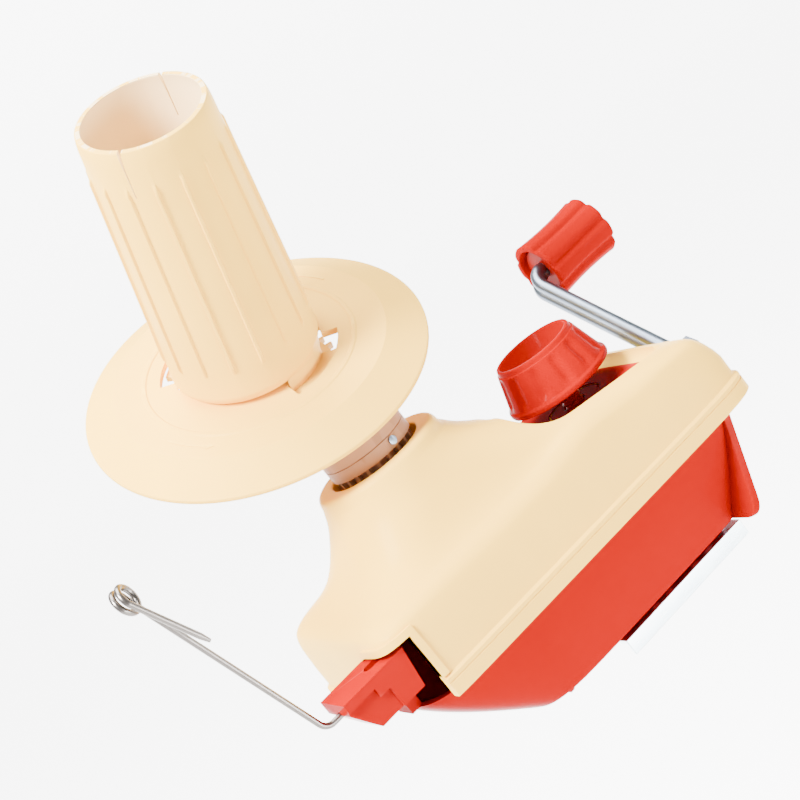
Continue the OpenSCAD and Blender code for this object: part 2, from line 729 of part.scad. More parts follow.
// Toothed disc under the flange; it rolls round the fixed sun gear as the head turns
module bobbin_gear() {
    color("#EDE6D6") at_bobbin() translate([0, 0, gear_low]) difference() {
        linear_extrude(gear_t) rotate(bobbin_phase)
            gear_plan(bobbin_teeth, bobbin_gear_r, bobbin_up, tooth_down, bobbin_tooth, tooth_tip);
        translate([0, 0, -1]) cylinder(h = gear_t + 2, r = stub_d / 2 + run);
    }
}
// Cream flange: flat face with two bayonet openings, conical skirt, central hub on the stub axle
module flange() {
    hub_low = gear_low + gear_t;
    color("#F8E7C9") at_bobbin() difference() {
        rotate_extrude() polygon([
            [stub_d / 2 + run, hub_low], [flange_hub_r, hub_low], [flange_hub_r, face_h - flange_t],
            [face_r - 1, face_h - flange_t], [flange_r - 2.6, 0.6], [flange_r - 1.2, 0], [flange_r, 0.8],
            [flange_r, 1.8], [face_r + 1, face_h - 0.2], [face_r, face_h], [flange_hub_r, face_h],
            [flange_hub_r, flange_hub_top], [stub_d / 2 + run, flange_hub_top]]);
        for (side = [0, 180]) rotate(side + bayonet_turn) translate([0, 0, face_h - flange_t - 1]) {
            rotate(-lug_angle / 2 - lug_play) rotate_extrude(angle = lug_angle + twist + 2 * lug_play)
                translate([lug_r - gap, 0]) square([lug_neck + 2 * gap, flange_t + 2]);
            rotate(-lug_angle / 2 - lug_play) rotate_extrude(angle = lug_angle + lug_play + window_more)
                translate([lug_r - gap, 0]) square([lug_out + 2 * gap, flange_t + 2]);
        }
    }
}
module flange_nut() {
    color("#C4C8CE") at_bobbin() translate([0, 0, flange_hub_top + run]) difference() {
        union() {
            cylinder(h = 1.2, r = 8);
            cylinder(h = 5, r = 6.5, $fn = 6);
        }
        translate([0, 0, -1]) cylinder(h = 8, r = stub_d / 2);
    }
}
// Cream bobbin: a tapered tube with a rounded foot, raised ribs, two slits at its mouth and two bayonet lugs
module bobbin() {
    rib_low = 14;
    rib_high = bobbin_len - plain_band;
    rib_end = 0.8;
    rib_root = 0.9;
    lip = 0.5;
    slit_foot_w = 0.6;
    slope = (bobbin_foot_r - bobbin_top_r) / bobbin_len;
    lug_low = face_h - flange_t - lug_drop;
    foot_in_r = bobbin_foot_r - foot_round - foot_lip;
    foot_arc = [for (a = [0 : 15 : 90])
        [bobbin_foot_r - foot_round * (1 - sin(a)), foot_round * (1 - cos(a))]];
    color("#F8E7C9") at_bobbin() {
        translate([0, 0, bobbin_low]) difference() {
            union() {
                rotate_extrude() polygon(concat([[foot_in_r, 0]], foot_arc, [
                    [bobbin_top_r, bobbin_len - lip], [bobbin_top_r - lip, bobbin_len],
                    [bobbin_top_r - bobbin_wall, bobbin_len],
                    [bobbin_foot_r - bobbin_wall, foot_round + 1], [foot_in_r, foot_t]]));
                for (k = [0 : bobbin_ribs - 1]) rotate(360 * k / bobbin_ribs)
                    translate([0, rib_w / 2, 0]) rotate([90, 0, 0]) linear_extrude(rib_w)
                        polygon([[bobbin_foot_r - slope * rib_low - rib_root, rib_low],
                                 [bobbin_foot_r - slope * rib_low + rib_proud, rib_low + rib_end],
                                 [bobbin_foot_r - slope * rib_high + rib_proud, rib_high - rib_end],
                                 [bobbin_foot_r - slope * rib_high - rib_root, rib_high]]);
            }
            for (side = [0, 180]) rotate(side + slit_turn) translate([0, 0, bobbin_len])
                rotate([90, 0, 90]) linear_extrude(2 * bobbin_top_r)
                    polygon([[-slit_w / 2, 1], [-slit_foot_w / 2, -slit_len],
                             [slit_foot_w / 2, -slit_len], [slit_w / 2, 1]]);
        }
        for (side = [0, 180]) rotate(side + bayonet_turn - lug_angle / 2) translate([0, 0, lug_low]) {
            rotate_extrude(angle = lug_angle)
                translate([lug_r, 0]) square([lug_neck, bobbin_low - lug_low + foot_t + 1]);
            rotate_extrude(angle = lug_angle) translate([lug_r, 0]) square([lug_out, lug_t]);
        }
    }
}

// Table clamp: a knob and its screw turn in the cover, and draw the sleeve and the jaw up and down
module clamp_bush() {
    color("#E2553C") at_clamp() translate([0, 0, clamp_bush_z - 5]) {
        tube(5 + 1.6, clamp_bush_r, screw_d / 2 + run);
        translate([0, 0, 5]) tube(1.6, clamp_bush_flange_r, screw_d / 2 + run);
    }
}
module clamp_knob() {
    flutes = 12;
    r0 = knob_d / 2;
    r1 = knob_top_d / 2;
    color("#FF4423") at_clamp() translate([0, 0, knob_z]) difference() {
        rotate_extrude() polygon([
            [screw_d / 2, 0], [r0 - 0.6, 0], [r0, 0.6], [r0, 1.8], [r0 - 0.8, 2.4], [r1 + 0.8, knob_h - 3],
            [r1 - 0.8, knob_h - 2.4], [r1 - 0.8, knob_h - 0.6], [r1 - 1.4, knob_h], [r1 - 2.8, knob_h],
            [r1 - 3.2, 8], [screw_d / 2, 7]]);
        for (k = [0 : flutes - 1]) rotate(360 * k / flutes) translate([r0 + 5.2, 0, 2.6])
            rotate([0, -atan((r0 - r1) / knob_h), 0]) cylinder(h = knob_h - 6, r = 6);
    }
}
module clamp_screw() {
    color("#C8281A") at_clamp() difference() {
        translate([0, 0, screw_low]) cylinder(h = knob_z + 9 - screw_low, r = screw_d / 2);
        translate([0, 0, clamp_bush_z - 5 - run - clip_t]) tube(clip_t, screw_d, screw_d / 2 - 0.6);
    }
}
module clamp_clip() {
    color("#8F949A") at_clamp() translate([0, 0, clamp_bush_z - 5 - run - clip_t]) difference() {
        tube(clip_t, clip_r, screw_d / 2 - 0.6);
        translate([0, -1.4, -1]) cube([20, 2.8, 4]);
    }
}
// Zinc-plated jaw: a plate with turned edges and a tongue that keeps it square in the base
module clamp_jaw() {
    length = jaw_right - jaw_left;
    color("#D9DDE2") difference() {
        union() {
            translate([jaw_left, -jaw_half_w, jaw_z - jaw_t]) cube([length, 2 * jaw_half_w, jaw_t]);
            for (y = [-jaw_half_w, jaw_half_w - jaw_t]) translate([jaw_left, y, jaw_z - jaw_lip])
                cube([length, jaw_t, jaw_lip]);
            translate([jaw_right - jaw_t, -jaw_half_w, jaw_z - jaw_lip])
                cube([jaw_t, 2 * jaw_half_w, jaw_lip]);
            translate([tongue_x, tongue_y, jaw_z - jaw_t])
                cube([jaw_t, tongue_w, tongue_top - jaw_z + jaw_t]);
        }
        at_clamp() translate([0, 0, -20]) cylinder(h = 40, r = sleeve_r - 1);
    }
}
module clamp_sleeve() {
    color("#B9BCC2") at_clamp() {
        translate([0, 0, jaw_z]) tube(sleeve_top - jaw_z, sleeve_r, screw_d / 2 + run);
        translate([0, 0, jaw_z - jaw_t - 2]) tube(jaw_t + 2 + eps, sleeve_r - 1, screw_d / 2 + run);
    }
}

base();
cover();
housing_screws();
guide_block();
guide_wire();
spindle();
sun_gear();
thrust_washer();
bearing_block();
crank_bush();
crank_shaft();
drive_gear();
drive_pin();
crank_arm();
arm_nut();
grip_post();
crank_grip();
grip_cap();
hub();
hub_pin();
stub_axle();
stub_washer();
bobbin_gear();
flange();
flange_nut();
bobbin();
clamp_bush();
clamp_knob();
clamp_screw();
clamp_clip();
clamp_jaw();
clamp_sleeve();
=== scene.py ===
"""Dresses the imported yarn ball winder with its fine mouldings, wire and finishes."""

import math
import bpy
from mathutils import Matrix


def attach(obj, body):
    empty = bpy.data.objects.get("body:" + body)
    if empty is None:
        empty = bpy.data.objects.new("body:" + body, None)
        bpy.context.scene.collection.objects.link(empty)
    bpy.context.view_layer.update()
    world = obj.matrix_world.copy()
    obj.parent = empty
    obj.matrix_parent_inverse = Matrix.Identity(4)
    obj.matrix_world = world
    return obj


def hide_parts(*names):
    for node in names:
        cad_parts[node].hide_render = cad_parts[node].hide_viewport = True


bl_info = {
    "name": "Yarn ball winder",
    "version": (1, 0, 0),
    "blender": (4, 5, 0),
    "location": "3D View > Sidebar > Winder",
    "description": "Builds a yarn ball winder's mouldings, wire, crank, clamp and finishes on its frame",
    "category": "Object",
}

import bmesh
import bpy
import numpy as np
from bpy.props import FloatProperty, FloatVectorProperty, IntProperty, PointerProperty
from bpy.types import Operator, Panel, PropertyGroup
from mathutils import Matrix, Vector
from mathutils.bvhtree import BVHTree

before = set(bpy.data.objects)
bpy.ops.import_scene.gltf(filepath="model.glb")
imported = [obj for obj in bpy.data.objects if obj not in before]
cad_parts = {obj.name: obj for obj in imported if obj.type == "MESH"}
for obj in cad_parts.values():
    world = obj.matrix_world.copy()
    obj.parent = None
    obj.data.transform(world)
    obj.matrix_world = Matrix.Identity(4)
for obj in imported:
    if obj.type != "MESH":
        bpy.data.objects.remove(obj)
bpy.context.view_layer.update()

# Shapes are worked out in millimetres, and scaled to metres when a mesh is made
MM = 0.001
IMAGE_SIDE = 800
SENSOR = 36.0
# Distance in metres under which points are one, and the angle in degrees over which an edge is sharp
MERGE = 2e-6
SHARP = 38.0
# Rounding of the frame's own edges in metres, where it isn't the usual one
FINE_EDGE, BLOCK_EDGE, THICK_EDGE = 0.0002, 0.0004, 0.0005
# Materials by name, filled when the first piece asks for one
FINISHES = {}
# Features to the metre of the patterns in the plastics and the metals
DRIFT_SCALE, GRAIN_SCALE, FLOW_SCALE = 26.0, 1500.0, 60.0
LINE_SCALE, CLOUD_SCALE, SPOT_SCALE = 900.0, 120.0, 700.0
FLOW_STRETCH = (1.0, 1.0, 0.12)

# Housing
COVER_LEFT, COVER_RIGHT, COVER_HALF_W = 52.0, 107.0, 40.0
COVER_MID = (COVER_RIGHT - COVER_LEFT) / 2
COVER_HALF_L = (COVER_RIGHT + COVER_LEFT) / 2
SEAM_Z, DECK_Z, DECK_FALL, WALL = 35.5, 67.0, 0.03, 2.2
BAND_PROUD, BAND_H = 1.2, 7.0
DECK_SWELL, DECK_SLOPE, SWELL_MID = 2.7, 0.103, 58.0
SWELL_LEAST, SWELL_MOST, SWELL_FROM, SWELL_OVER = 1.5, 3.4, 22.0, 26.0
NECK_R, MOUTH_R, MOUTH_Z = 24.0, 17.0, 98.5
SHOULDER_Z = MOUTH_Z - 4.0
POCKET_Z, POCKET_R, POCKET_LEFT, POCKET_RIGHT, POCKET_NEAR = 59.5, 14.0, 38.0, 97.0, -26.0
BUSH_HOLE_R, BUSH_HOLE_LOW, BUSH_HOLE_HIGH, SLEEVE_HOLE_R = 10.2, 40.0, 80.0, 5.8
NOTCH_X, NOTCH_Y, NOTCH_LOW, NOTCH_SIDE_Z, NOTCH_END_Z = -42.0, -10.0, SEAM_Z - 2.0, 54.0, 61.4
# Arched top of the notch: distance from its edge, height and rounding
NOTCH_ARCH = [(11.0, 59.6, 7.0), (30.0, 60.6, 4.0)]
BASE_RIGHT = COVER_RIGHT - 13.0
BASE_INSET_X, BASE_INSET_Y, BASE_SWEEP = 2.6, 1.2, 1.2
FOOT_LEFT, FOOT_RIGHT, FOOT_HALF_W = -14.0, BASE_RIGHT - 12.5, 23.0
GRIP_RIB_H, GRIP_RIB_PITCH = 1.2, 7.0
BOSSES_X, TONGUE_X, TONGUE_Y = (26.0, 52.0), (73.6, 76.0), (-20.4, -7.6)
# Squareness of the outlines' corners
COVER_POWER, RIM_POWER, FOOT_POWER, CRANK_END_POWER = 12, 4.8, 5, 14
# Share of the way from the cover's box to the neck's ring, and the height there
FLARE = [(0.0, 50.0), (0.015, 56.5), (0.04, 60.4), (0.08, 62.6), (0.16, 64.5), (0.28, 66.2), (0.42, 68.2),
         (0.58, 71.8), (0.72, 77.0), (0.85, 83.5), (0.94, 89.0), (1.0, 94.5)]

# Crank
CRANK_Z, CRANK_REACH, CRANK_REST = 46.0, 73.0, 53.0
ARM_X, ARM_W, ARM_T, BEND_R = 110.6, 9.5, 5.0, 8.0
ARM_MID = ARM_X + ARM_T / 2
GRIP_D, GRIP_LEN, POST_D, SHAFT_D = 25.2, 30.0, 6.0, 7.0
GRIP_X = ARM_MID + BEND_R - 2.4

# Head, flange and bobbin
TILT, CROSS_Z, RIM_DROP, HEAD_REST = 30.0, 192.0, 62.0, 6.0
FLANGE_R, FACE_R, FACE_H, FLANGE_T = 60.0, 47.0, 8.5, 2.4
FLANGE_HUB_R, FLANGE_HUB_TOP, FLANGE_HUB_LOW, STUB_HOLE_R = 11.0, 20.0, -5.103, 4.2
BOBBIN_FOOT_R, BOBBIN_TOP_R, BOBBIN_LEN, BOBBIN_WALL = 26.0, 22.0, 99.0, 1.8
BOBBIN_LOW, BOBBIN_BACK = FACE_H + 0.2, 0.3
PLAIN_BAND, RIB_LOW, SLIT_TURN = 12.5, 14.0, -152.0
FOOT_ROUND, FOOT_LIP, FOOT_T = 5.0, 1.5, 2.2
LUG_R, LUG_OUT, LUG_NECK, LUG_ANGLE, LUG_PLAY = 24.4, 6.2, 0.6, 46.0, 1.5
WINDOW_MORE, BAYONET_TURN, TWIST = 16.0, 102.0, 25.0

# Clamp
SCREW_X, SCREW_Y, SCREW_D = 75.0, 12.0, 8.0
KNOB_Z, KNOB_D, KNOB_TOP_D, KNOB_H = 68.0, 41.0, 32.0, 17.0
SCREW_LOW, SCREW_TOP, THREAD_DEPTH = 9.0, KNOB_Z + 9.0, 0.75

# Yarn guide
GUIDE_LEFT, WIRE_OUT = -COVER_LEFT - 19.0, 3.0
WIRE_Y, WIRE_Z, WIRE_LEN, WIRE_LEAN, WIRE_BEND_R = -27.0, 54.0, 73.0, 16.0, 4.0
EYE_R, EYE_TURN, EYE_PITCH, TAIL_LEN, TAIL_TURN, TAIL_IN = 4.2, 128.0, 2.8, 27.0, 6.0, 6.0

# Frames of the moving pieces
AT_BOBBIN = (Matrix.Rotation(math.radians(HEAD_REST), 4, "Z") @ Matrix.Translation((0, 0, CROSS_Z))
             @ Matrix.Rotation(math.radians(TILT), 4, "X") @ Matrix.Translation((0, 0, -RIM_DROP)))
AT_CRANK = Matrix.Translation((0, 0, CRANK_Z)) @ Matrix.Rotation(math.radians(-CRANK_REST), 4, "X")
AT_GRIP = AT_CRANK @ Matrix.Translation((0, 0, CRANK_REACH)) @ Matrix.Rotation(math.radians(90), 4, "Y")
AT_CLAMP = Matrix.Translation((SCREW_X, SCREW_Y, 0))


class WinderColours(PropertyGroup):
    """Colours of the winder's plastics and metals"""

    cream: FloatVectorProperty(name="Cream", description="Cover, flange and bobbin", subtype="COLOR",
                               default=(0.92, 0.54, 0.075), min=0, max=1)
    # Inner wall: a paler, less saturated copy of the cream, painted light for the light that comes through
    # the thin wall and bounces inside the tube
    inside: FloatVectorProperty(name="Inside", description="Inner wall of the bobbin", subtype="COLOR",
                                default=(0.92, 0.68, 0.36), min=0, max=1)
    red: FloatVectorProperty(name="Red", description="Base, knobs, grip and guide block", subtype="COLOR",
                             default=(0.3, 0.002, 0.0003), min=0, max=1)
    # Darker copy of the red: painted shade for the shadow the clamp screw stands in
    shade_painted_red: FloatVectorProperty(name="Stem", description="Clamp screw and its bush", subtype="COLOR",
                              default=(0.22, 0.005, 0.002), min=0, max=1)
    tan: FloatVectorProperty(name="Tan", description="Hub and its collar", subtype="COLOR",
                             default=(0.34, 0.165, 0.08), min=0, max=1)
    nylon: FloatVectorProperty(name="Nylon", description="Gears and bushes", subtype="COLOR",
                               default=(0.6, 0.48, 0.32), min=0, max=1)
    black: FloatVectorProperty(name="Black", description="Inner bearing", subtype="COLOR",
                               default=(0.03, 0.03, 0.032), min=0, max=1)
    steel: FloatVectorProperty(name="Steel", description="Wire, spindle and pins", subtype="COLOR",
                               default=(0.2, 0.18, 0.165), min=0, max=1)
    zinc: FloatVectorProperty(name="Zinc", description="Crank arm, nuts and jaw", subtype="COLOR",
                              default=(0.2, 0.235, 0.285), min=0, max=1)
    brass: FloatVectorProperty(name="Brass", description="Washers", subtype="COLOR",
                               default=(0.5, 0.3, 0.06), min=0, max=1)


class WinderSizes(PropertyGroup):
    """Sizes of the winder's fine shapes"""

    ribs: IntProperty(name="Bobbin ribs", description="Raised ribs round the bobbin",
                      default=16, min=4, max=32)
    rib_width: FloatProperty(name="Rib width", description="Width of a bobbin rib",
                             default=0.0011, unit="LENGTH")
    rib_proud: FloatProperty(name="Rib height", description="How far a bobbin rib stands proud",
                             default=0.0009, unit="LENGTH")
    slit_width: FloatProperty(name="Slit width", description="Width of a slit at the bobbin's mouth",
                              default=0.0013, unit="LENGTH")
    slit_length: FloatProperty(name="Slit length", description="Length of a slit",
                               default=0.016, unit="LENGTH")
    wire: FloatProperty(name="Wire", description="Diameter of the guide wire",
                        default=0.0021, unit="LENGTH")
    grip_lobes: IntProperty(name="Grip lobes", description="Lobes round the crank's grip",
                            default=8, min=4, max=12)
    knob_flutes: IntProperty(name="Knob flutes", description="Flutes round the clamp knob",
                             default=12, min=4, max=24)
    thread: FloatProperty(name="Thread pitch", description="Distance between the clamp screw's ridges",
                          default=0.002, unit="LENGTH")
    edge: FloatProperty(name="Edge", description="Rounding of the edges of the cut and pressed pieces",
                        default=0.0003, unit="LENGTH")


class StageSettings(PropertyGroup):
    """Floor, lights and camera"""

    floor_drop: FloatProperty(name="Floor drop", description="Height of the origin above the floor",
                              default=0.35, unit="LENGTH")
    floor_reach: FloatProperty(name="Floor reach", description="Radius of the floor",
                               default=4.0, unit="LENGTH")
    key: FloatProperty(name="Key light", description="Power of the main soft light",
                       default=82.0, unit="POWER")
    fill: FloatProperty(name="Fill light", description="Power of the fill light",
                        default=62.0, unit="POWER")
    glow: FloatProperty(name="Floor glow", description="Light that the lit floor gives off",
                        default=6.0, min=0)
    sky: FloatProperty(name="Sky", description="Strength of the white surroundings", default=0.6, min=0)
    lens: FloatProperty(name="Lens", description="Focal length of the camera",
                        default=90.0, subtype="DISTANCE_CAMERA")
    distance: FloatProperty(name="Distance", description="Camera's distance from the neck's mouth",
                            default=0.64838, unit="LENGTH")
    azimuth: FloatProperty(name="Azimuth", description="Camera's turn from the near side to the guide end",
                           default=math.radians(22.0), subtype="ANGLE")
    elevation: FloatProperty(name="Elevation", description="Camera's height angle",
                             default=math.radians(12.9406), subtype="ANGLE")
    roll: FloatProperty(name="Roll", description="Camera's roll",
                        default=math.radians(-38.4135), subtype="ANGLE")


class Value:
    """A number that changes over a surface; arithmetic on it adds Math nodes."""

    def __init__(self, finish, socket):
        self.finish = finish
        self.socket = socket

    def _math(self, operation, first, second):
        return self.finish.node("ShaderNodeMath", {"operation": operation}, {0: first, 1: second})

    def __add__(self, other):
        return self._math("ADD", self, other)

    def __radd__(self, other):
        return self._math("ADD", other, self)

    def __sub__(self, other):
        return self._math("SUBTRACT", self, other)

    def __rsub__(self, other):
        return self._math("SUBTRACT", other, self)

    def __mul__(self, other):
        return self._math("MULTIPLY", self, other)

    def __rmul__(self, other):
        return self._math("MULTIPLY", other, self)


class Finish:
    """One material: a Principled surface, and the one method that adds a node to it."""

    MIX_SOCKETS = {"factor": 0, "first": 6, "second": 7, "result": 2}

    def __init__(self, name):
        self.material = bpy.data.materials.new(name)
        self.material.use_nodes = True
        self.tree = self.material.node_tree
        self.tree.nodes.clear()
        self.coordinates = self.node("ShaderNodeTexCoord", output="Object")

    def node(self, kind, settings=None, sockets=None, output=0):
        """Adds a node, its settings first and then its sockets' values or links, and returns an output."""
        made = self.tree.nodes.new(kind)
        for key, value in (settings or {}).items():
            setattr(made, key, value)
        for key, value in (sockets or {}).items():
            if isinstance(value, Value):
                self.tree.links.new(value.socket, made.inputs[key])
            else:
                made.inputs[key].default_value = value
        return Value(self, made.outputs[output]) if made.outputs else None

    def noise(self, scale, detail=2.0, stretch=None):
        """Noise with features of about 1 / scale metres, drawn out along axes where stretch is small."""
        where = self.coordinates
        if stretch:
            where = self.node("ShaderNodeVectorMath", {"operation": "MULTIPLY"}, {0: where, 1: stretch})
        sockets = {"Vector": where, "Scale": scale, "Detail": detail}
        return self.node("ShaderNodeTexNoise", {}, sockets, "Fac")

    def step(self, value, low, high):
        """Zero below low, one above high."""
        return self.node("ShaderNodeMapRange", {"interpolation_type": "SMOOTHSTEP"},
                         {"Value": value, "From Min": low, "From Max": high})

    def blend(self, share, first, second):
        """Colour between two colours."""
        slots = self.MIX_SOCKETS
        return self.node("ShaderNodeMix", {"data_type": "RGBA"},
                         {slots["factor"]: share, slots["first"]: self.colour(first),
                          slots["second"]: self.colour(second)}, slots["result"])

    @staticmethod
    def colour(value):
        return value if isinstance(value, Value) else (*value, 1.0)

    def bump(self, height, depth, strength=0.5):
        """Normal of a surface with relief of that depth, in metres."""
        return self.node("ShaderNodeBump", {}, {"Height": height, "Distance": depth, "Strength": strength})

    def close(self, sockets):
        """Feeds the surface and returns the material."""
        surface = self.node("ShaderNodeBsdfPrincipled", {}, sockets)
        self.node("ShaderNodeOutputMaterial", {}, {"Surface": surface})
        return self.material


def toned(colour, factor):
    """The colour made darker or lighter."""
    return [min(1.0, c * factor) for c in colour]


def moulded_plastic(name, colour, roughness, coat, grain, sheen):
    """Moulded plastic: slow colour drift, fine mould grain, faint flow lines and paler worn edges."""
    finish = Finish(name)
    drift = finish.noise(DRIFT_SCALE, 3.0)
    fine = finish.noise(GRAIN_SCALE, 2.0)
    flow = finish.noise(FLOW_SCALE, 3.0, FLOW_STRETCH)
    edge = finish.node("ShaderNodeNewGeometry", output="Pointiness")
    dark, light, streak, lift = 0.93, 1.06, 1.1, 0.03
    streak_share, worn_share = 0.25, 0.5
    pale = [min(1.0, lift + 1.2 * c) for c in colour]
    streaks = finish.step(flow, 0.55, 0.8)
    worn = finish.step(edge, 0.56, 0.66)
    body = finish.blend(drift, toned(colour, dark), toned(colour, light))
    streaked = finish.blend(streaks * streak_share, body, toned(colour, streak))
    rubbed = finish.blend(worn * worn_share, streaked, pale)
    relief = fine * 0.6 + drift * 0.8
    return finish.close({
        "Base Color": rubbed,
        "Roughness": roughness + (drift - 0.5) * 0.12 + (fine - 0.5) * 0.08,
        "Coat Weight": coat * (0.5 + flow),
        "Coat Roughness": 0.12,
        "Specular IOR Level": sheen,
        "IOR": 1.2,
        "Coat IOR": 1.3,
        "Normal": finish.bump(relief, grain),
    })


def bright_metal(name, colour, roughness, stretch):
    """Plated or drawn metal: fine lines along the work, cloudy plating and brighter edges."""
    finish = Finish(name)
    lines = finish.noise(LINE_SCALE, 3.0, stretch)
    cloud = finish.noise(CLOUD_SCALE, 3.0)
    spots = finish.noise(SPOT_SCALE, 2.0)
    edge = finish.node("ShaderNodeNewGeometry", output="Pointiness")
    dark, light, pit, shine = 0.86, 1.08, 0.6, 1.25
    pit_share, worn_share = 0.35, 0.4
    grain, bump_strength = 0.00004, 0.4
    pits = finish.step(spots, 0.68, 0.78)
    worn = finish.step(edge, 0.52, 0.6)
    body = finish.blend(cloud, toned(colour, dark), toned(colour, light))
    pitted = finish.blend(pits * pit_share, body, toned(colour, pit))
    rubbed = finish.blend(worn * worn_share, pitted, toned(colour, shine))
    return finish.close({
        "Base Color": rubbed,
        "Metallic": 1.0,
        "Roughness": roughness + (lines - 0.5) * 0.18 + (cloud - 0.5) * 0.1,
        "Normal": finish.bump(lines + spots * 0.4, grain, bump_strength),
    })


def finishes():
    """The winder's materials by name, made once."""
    if not FINISHES:
        colours = bpy.context.scene.winder_colours
        # Colour, roughness, coat, depth of the grain in metres and sheen
        plastics = {
            "cream_plastic": (colours.cream, 0.34, 0.03, 0.00003, 0.15),
            "red_plastic": (colours.red, 0.15, 0.015, 0.00002, 0.015),
            # Paler copy of the cream for the bobbin's inner wall: painted light inside the tube
            "cream_inside_painted_light": (colours.inside, 0.4, 0.02, 0.00003, 0.15),
            # Darker copy of the red, painted shade
            "red_plastic_painted_shade": (colours.shade_painted_red, 0.3, 0.03, 0.00003, 0.15),
            "tan_plastic": (colours.tan, 0.42, 0.05, 0.00004, 0.25),
            "nylon": (colours.nylon, 0.48, 0.02, 0.00004, 0.3),
            "black_plastic": (colours.black, 0.5, 0.02, 0.00004, 0.3),
        }
        # Colour, roughness and how the fine lines run
        metals = {
            "wire_steel": (colours.steel, 0.3, (0.2, 0.2, 0.2)),
            "turned_steel": (toned(colours.zinc, 1.3), 0.3, (1.0, 1.0, 0.05)),
            "zinc_plate": (colours.zinc, 0.36, (1.0, 0.15, 0.15)),
            "bright_plate": (toned(colours.zinc, 3.8), 0.3, (0.15, 1.0, 1.0)),
            "brass": (colours.brass, 0.32, (0.2, 1.0, 1.0)),
        }
        for name, (colour, *look) in plastics.items():
            FINISHES[name] = moulded_plastic(name, list(colour), *look)
        for name, (colour, *look) in metals.items():
            FINISHES[name] = bright_metal(name, list(colour), *look)
    return FINISHES


def in_mm(length):
    """A property's length in millimetres."""
    return length / MM


def turned(points, matrix):
    """Points moved by a matrix, still in millimetres."""
    points = np.asarray(points, float).reshape(-1, 3)
    return points @ np.array(matrix.to_3x3()).T + np.array(matrix.translation)


def ease(value):
    """Smooth step from zero to one."""
    value = np.clip(value, 0, 1)
    return value * value * (3 - 2 * value)


def rounded(corners, steps):
    """Closed outline through corners (x, y, radius), with each corner turned into an arc."""
    outline = []
    for k, (x, y, radius) in enumerate(corners):
        here = np.array([x, y])
        back = np.array(corners[k - 1][:2]) - here
        ahead = np.array(corners[(k + 1) % len(corners)][:2]) - here
        back_len, ahead_len = np.linalg.norm(back), np.linalg.norm(ahead)
        if not radius:
            outline.append(here)
            continue
        half = math.acos(np.clip(back @ ahead / back_len / ahead_len, -1, 1)) / 2
        reach = min(radius / math.tan(half), 0.49 * back_len, 0.49 * ahead_len)
        start = here + back / back_len * reach
        end = here + ahead / ahead_len * reach
        for s in np.linspace(0, 1, steps):
            outline.append((1 - s) ** 2 * start + 2 * s * (1 - s) * here + s * s * end)
    return np.array(outline)


def smooth_path(points, per_span):
    """Points on a smooth curve through the given points."""
    points = np.asarray(points, float)
    padded = np.vstack([2 * points[0] - points[1], points, 2 * points[-1] - points[-2]])
    path = []
    for k in range(len(points) - 1):
        p0, p1, p2, p3 = padded[k:k + 4]
        for s in np.arange(per_span) / per_span:
            path.append(0.5 * (2 * p1 + (p2 - p0) * s + (2 * p0 - 5 * p1 + 4 * p2 - p3) * s * s
                               + (3 * p1 - p0 - 3 * p2 + p3) * s ** 3))
    path.append(points[-1])
    return np.array(path)


def skin(rings, closed=True, wrap=False, caps=True):
    """Points and faces over stacked rings; wrap joins the last ring to the first, caps fills the ends."""
    rings = np.asarray(rings, float)
    rows, columns = rings.shape[:2]
    faces = []
    for row in range(rows if wrap else rows - 1):
        low, high = row * columns, (row + 1) % rows * columns
        for column in range(columns if closed else columns - 1):
            ahead = (column + 1) % columns
            faces.append((low + column, low + ahead, high + ahead, high + column))
    if caps and not wrap:
        faces.append(tuple(range(columns)))
        faces.append(tuple(range((rows - 1) * columns, rows * columns)))
    return rings.reshape(-1, 3), faces


def dense(profile, step=1.5):
    """Closed outline with its long sides split, so that smooth shading stays flat on flats."""
    out = []
    for here, ahead in zip(profile, np.roll(profile, -1, axis=0)):
        pieces = max(1, math.ceil(np.linalg.norm(ahead - here) / step))
        out += [here + (ahead - here) * k / pieces for k in range(pieces)]
    return np.array(out)


def lathe(profile, steps, wrap=True):
    """Points and faces of a profile (radius, height) turned about the upright axis."""
    turns = np.linspace(0, 2 * np.pi, steps, endpoint=False)
    rings = [np.c_[r * np.cos(turns), r * np.sin(turns), np.full(steps, z)] for r, z in profile]
    return skin(rings, wrap=wrap)


def sector(inner, outer, start, end, low, high, steps=24):
    """Points and faces of a block between two radii, two angles in degrees and two heights."""
    rings = []
    for angle in np.radians(np.linspace(start, end, steps)):
        ray = np.array([math.cos(angle), math.sin(angle), 0])
        rings.append([ray * inner + (0, 0, low), ray * outer + (0, 0, low),
                      ray * outer + (0, 0, high), ray * inner + (0, 0, high)])
    return skin(rings)


def prism(outline, low, high):
    """Points and faces of an outline raised between two heights."""
    outline = np.asarray(outline, float)
    return skin([np.c_[outline, np.full(len(outline), z)] for z in (low, high)])


def sweep(path, section, side):
    """Rings of a section, a function of the share of the way along, carried along a path."""
    path = np.asarray(path, float)
    ahead = np.gradient(path, axis=0)
    side = np.asarray(side, float)
    rings = []
    for k, point in enumerate(path):
        tangent = ahead[k] / np.linalg.norm(ahead[k])
        side = side - tangent * (side @ tangent)
        side = side / np.linalg.norm(side)
        up = np.cross(tangent, side)
        flat = section(k / (len(path) - 1))
        rings.append(point + flat[:, :1] * side + flat[:, 1:] * up)
    return rings


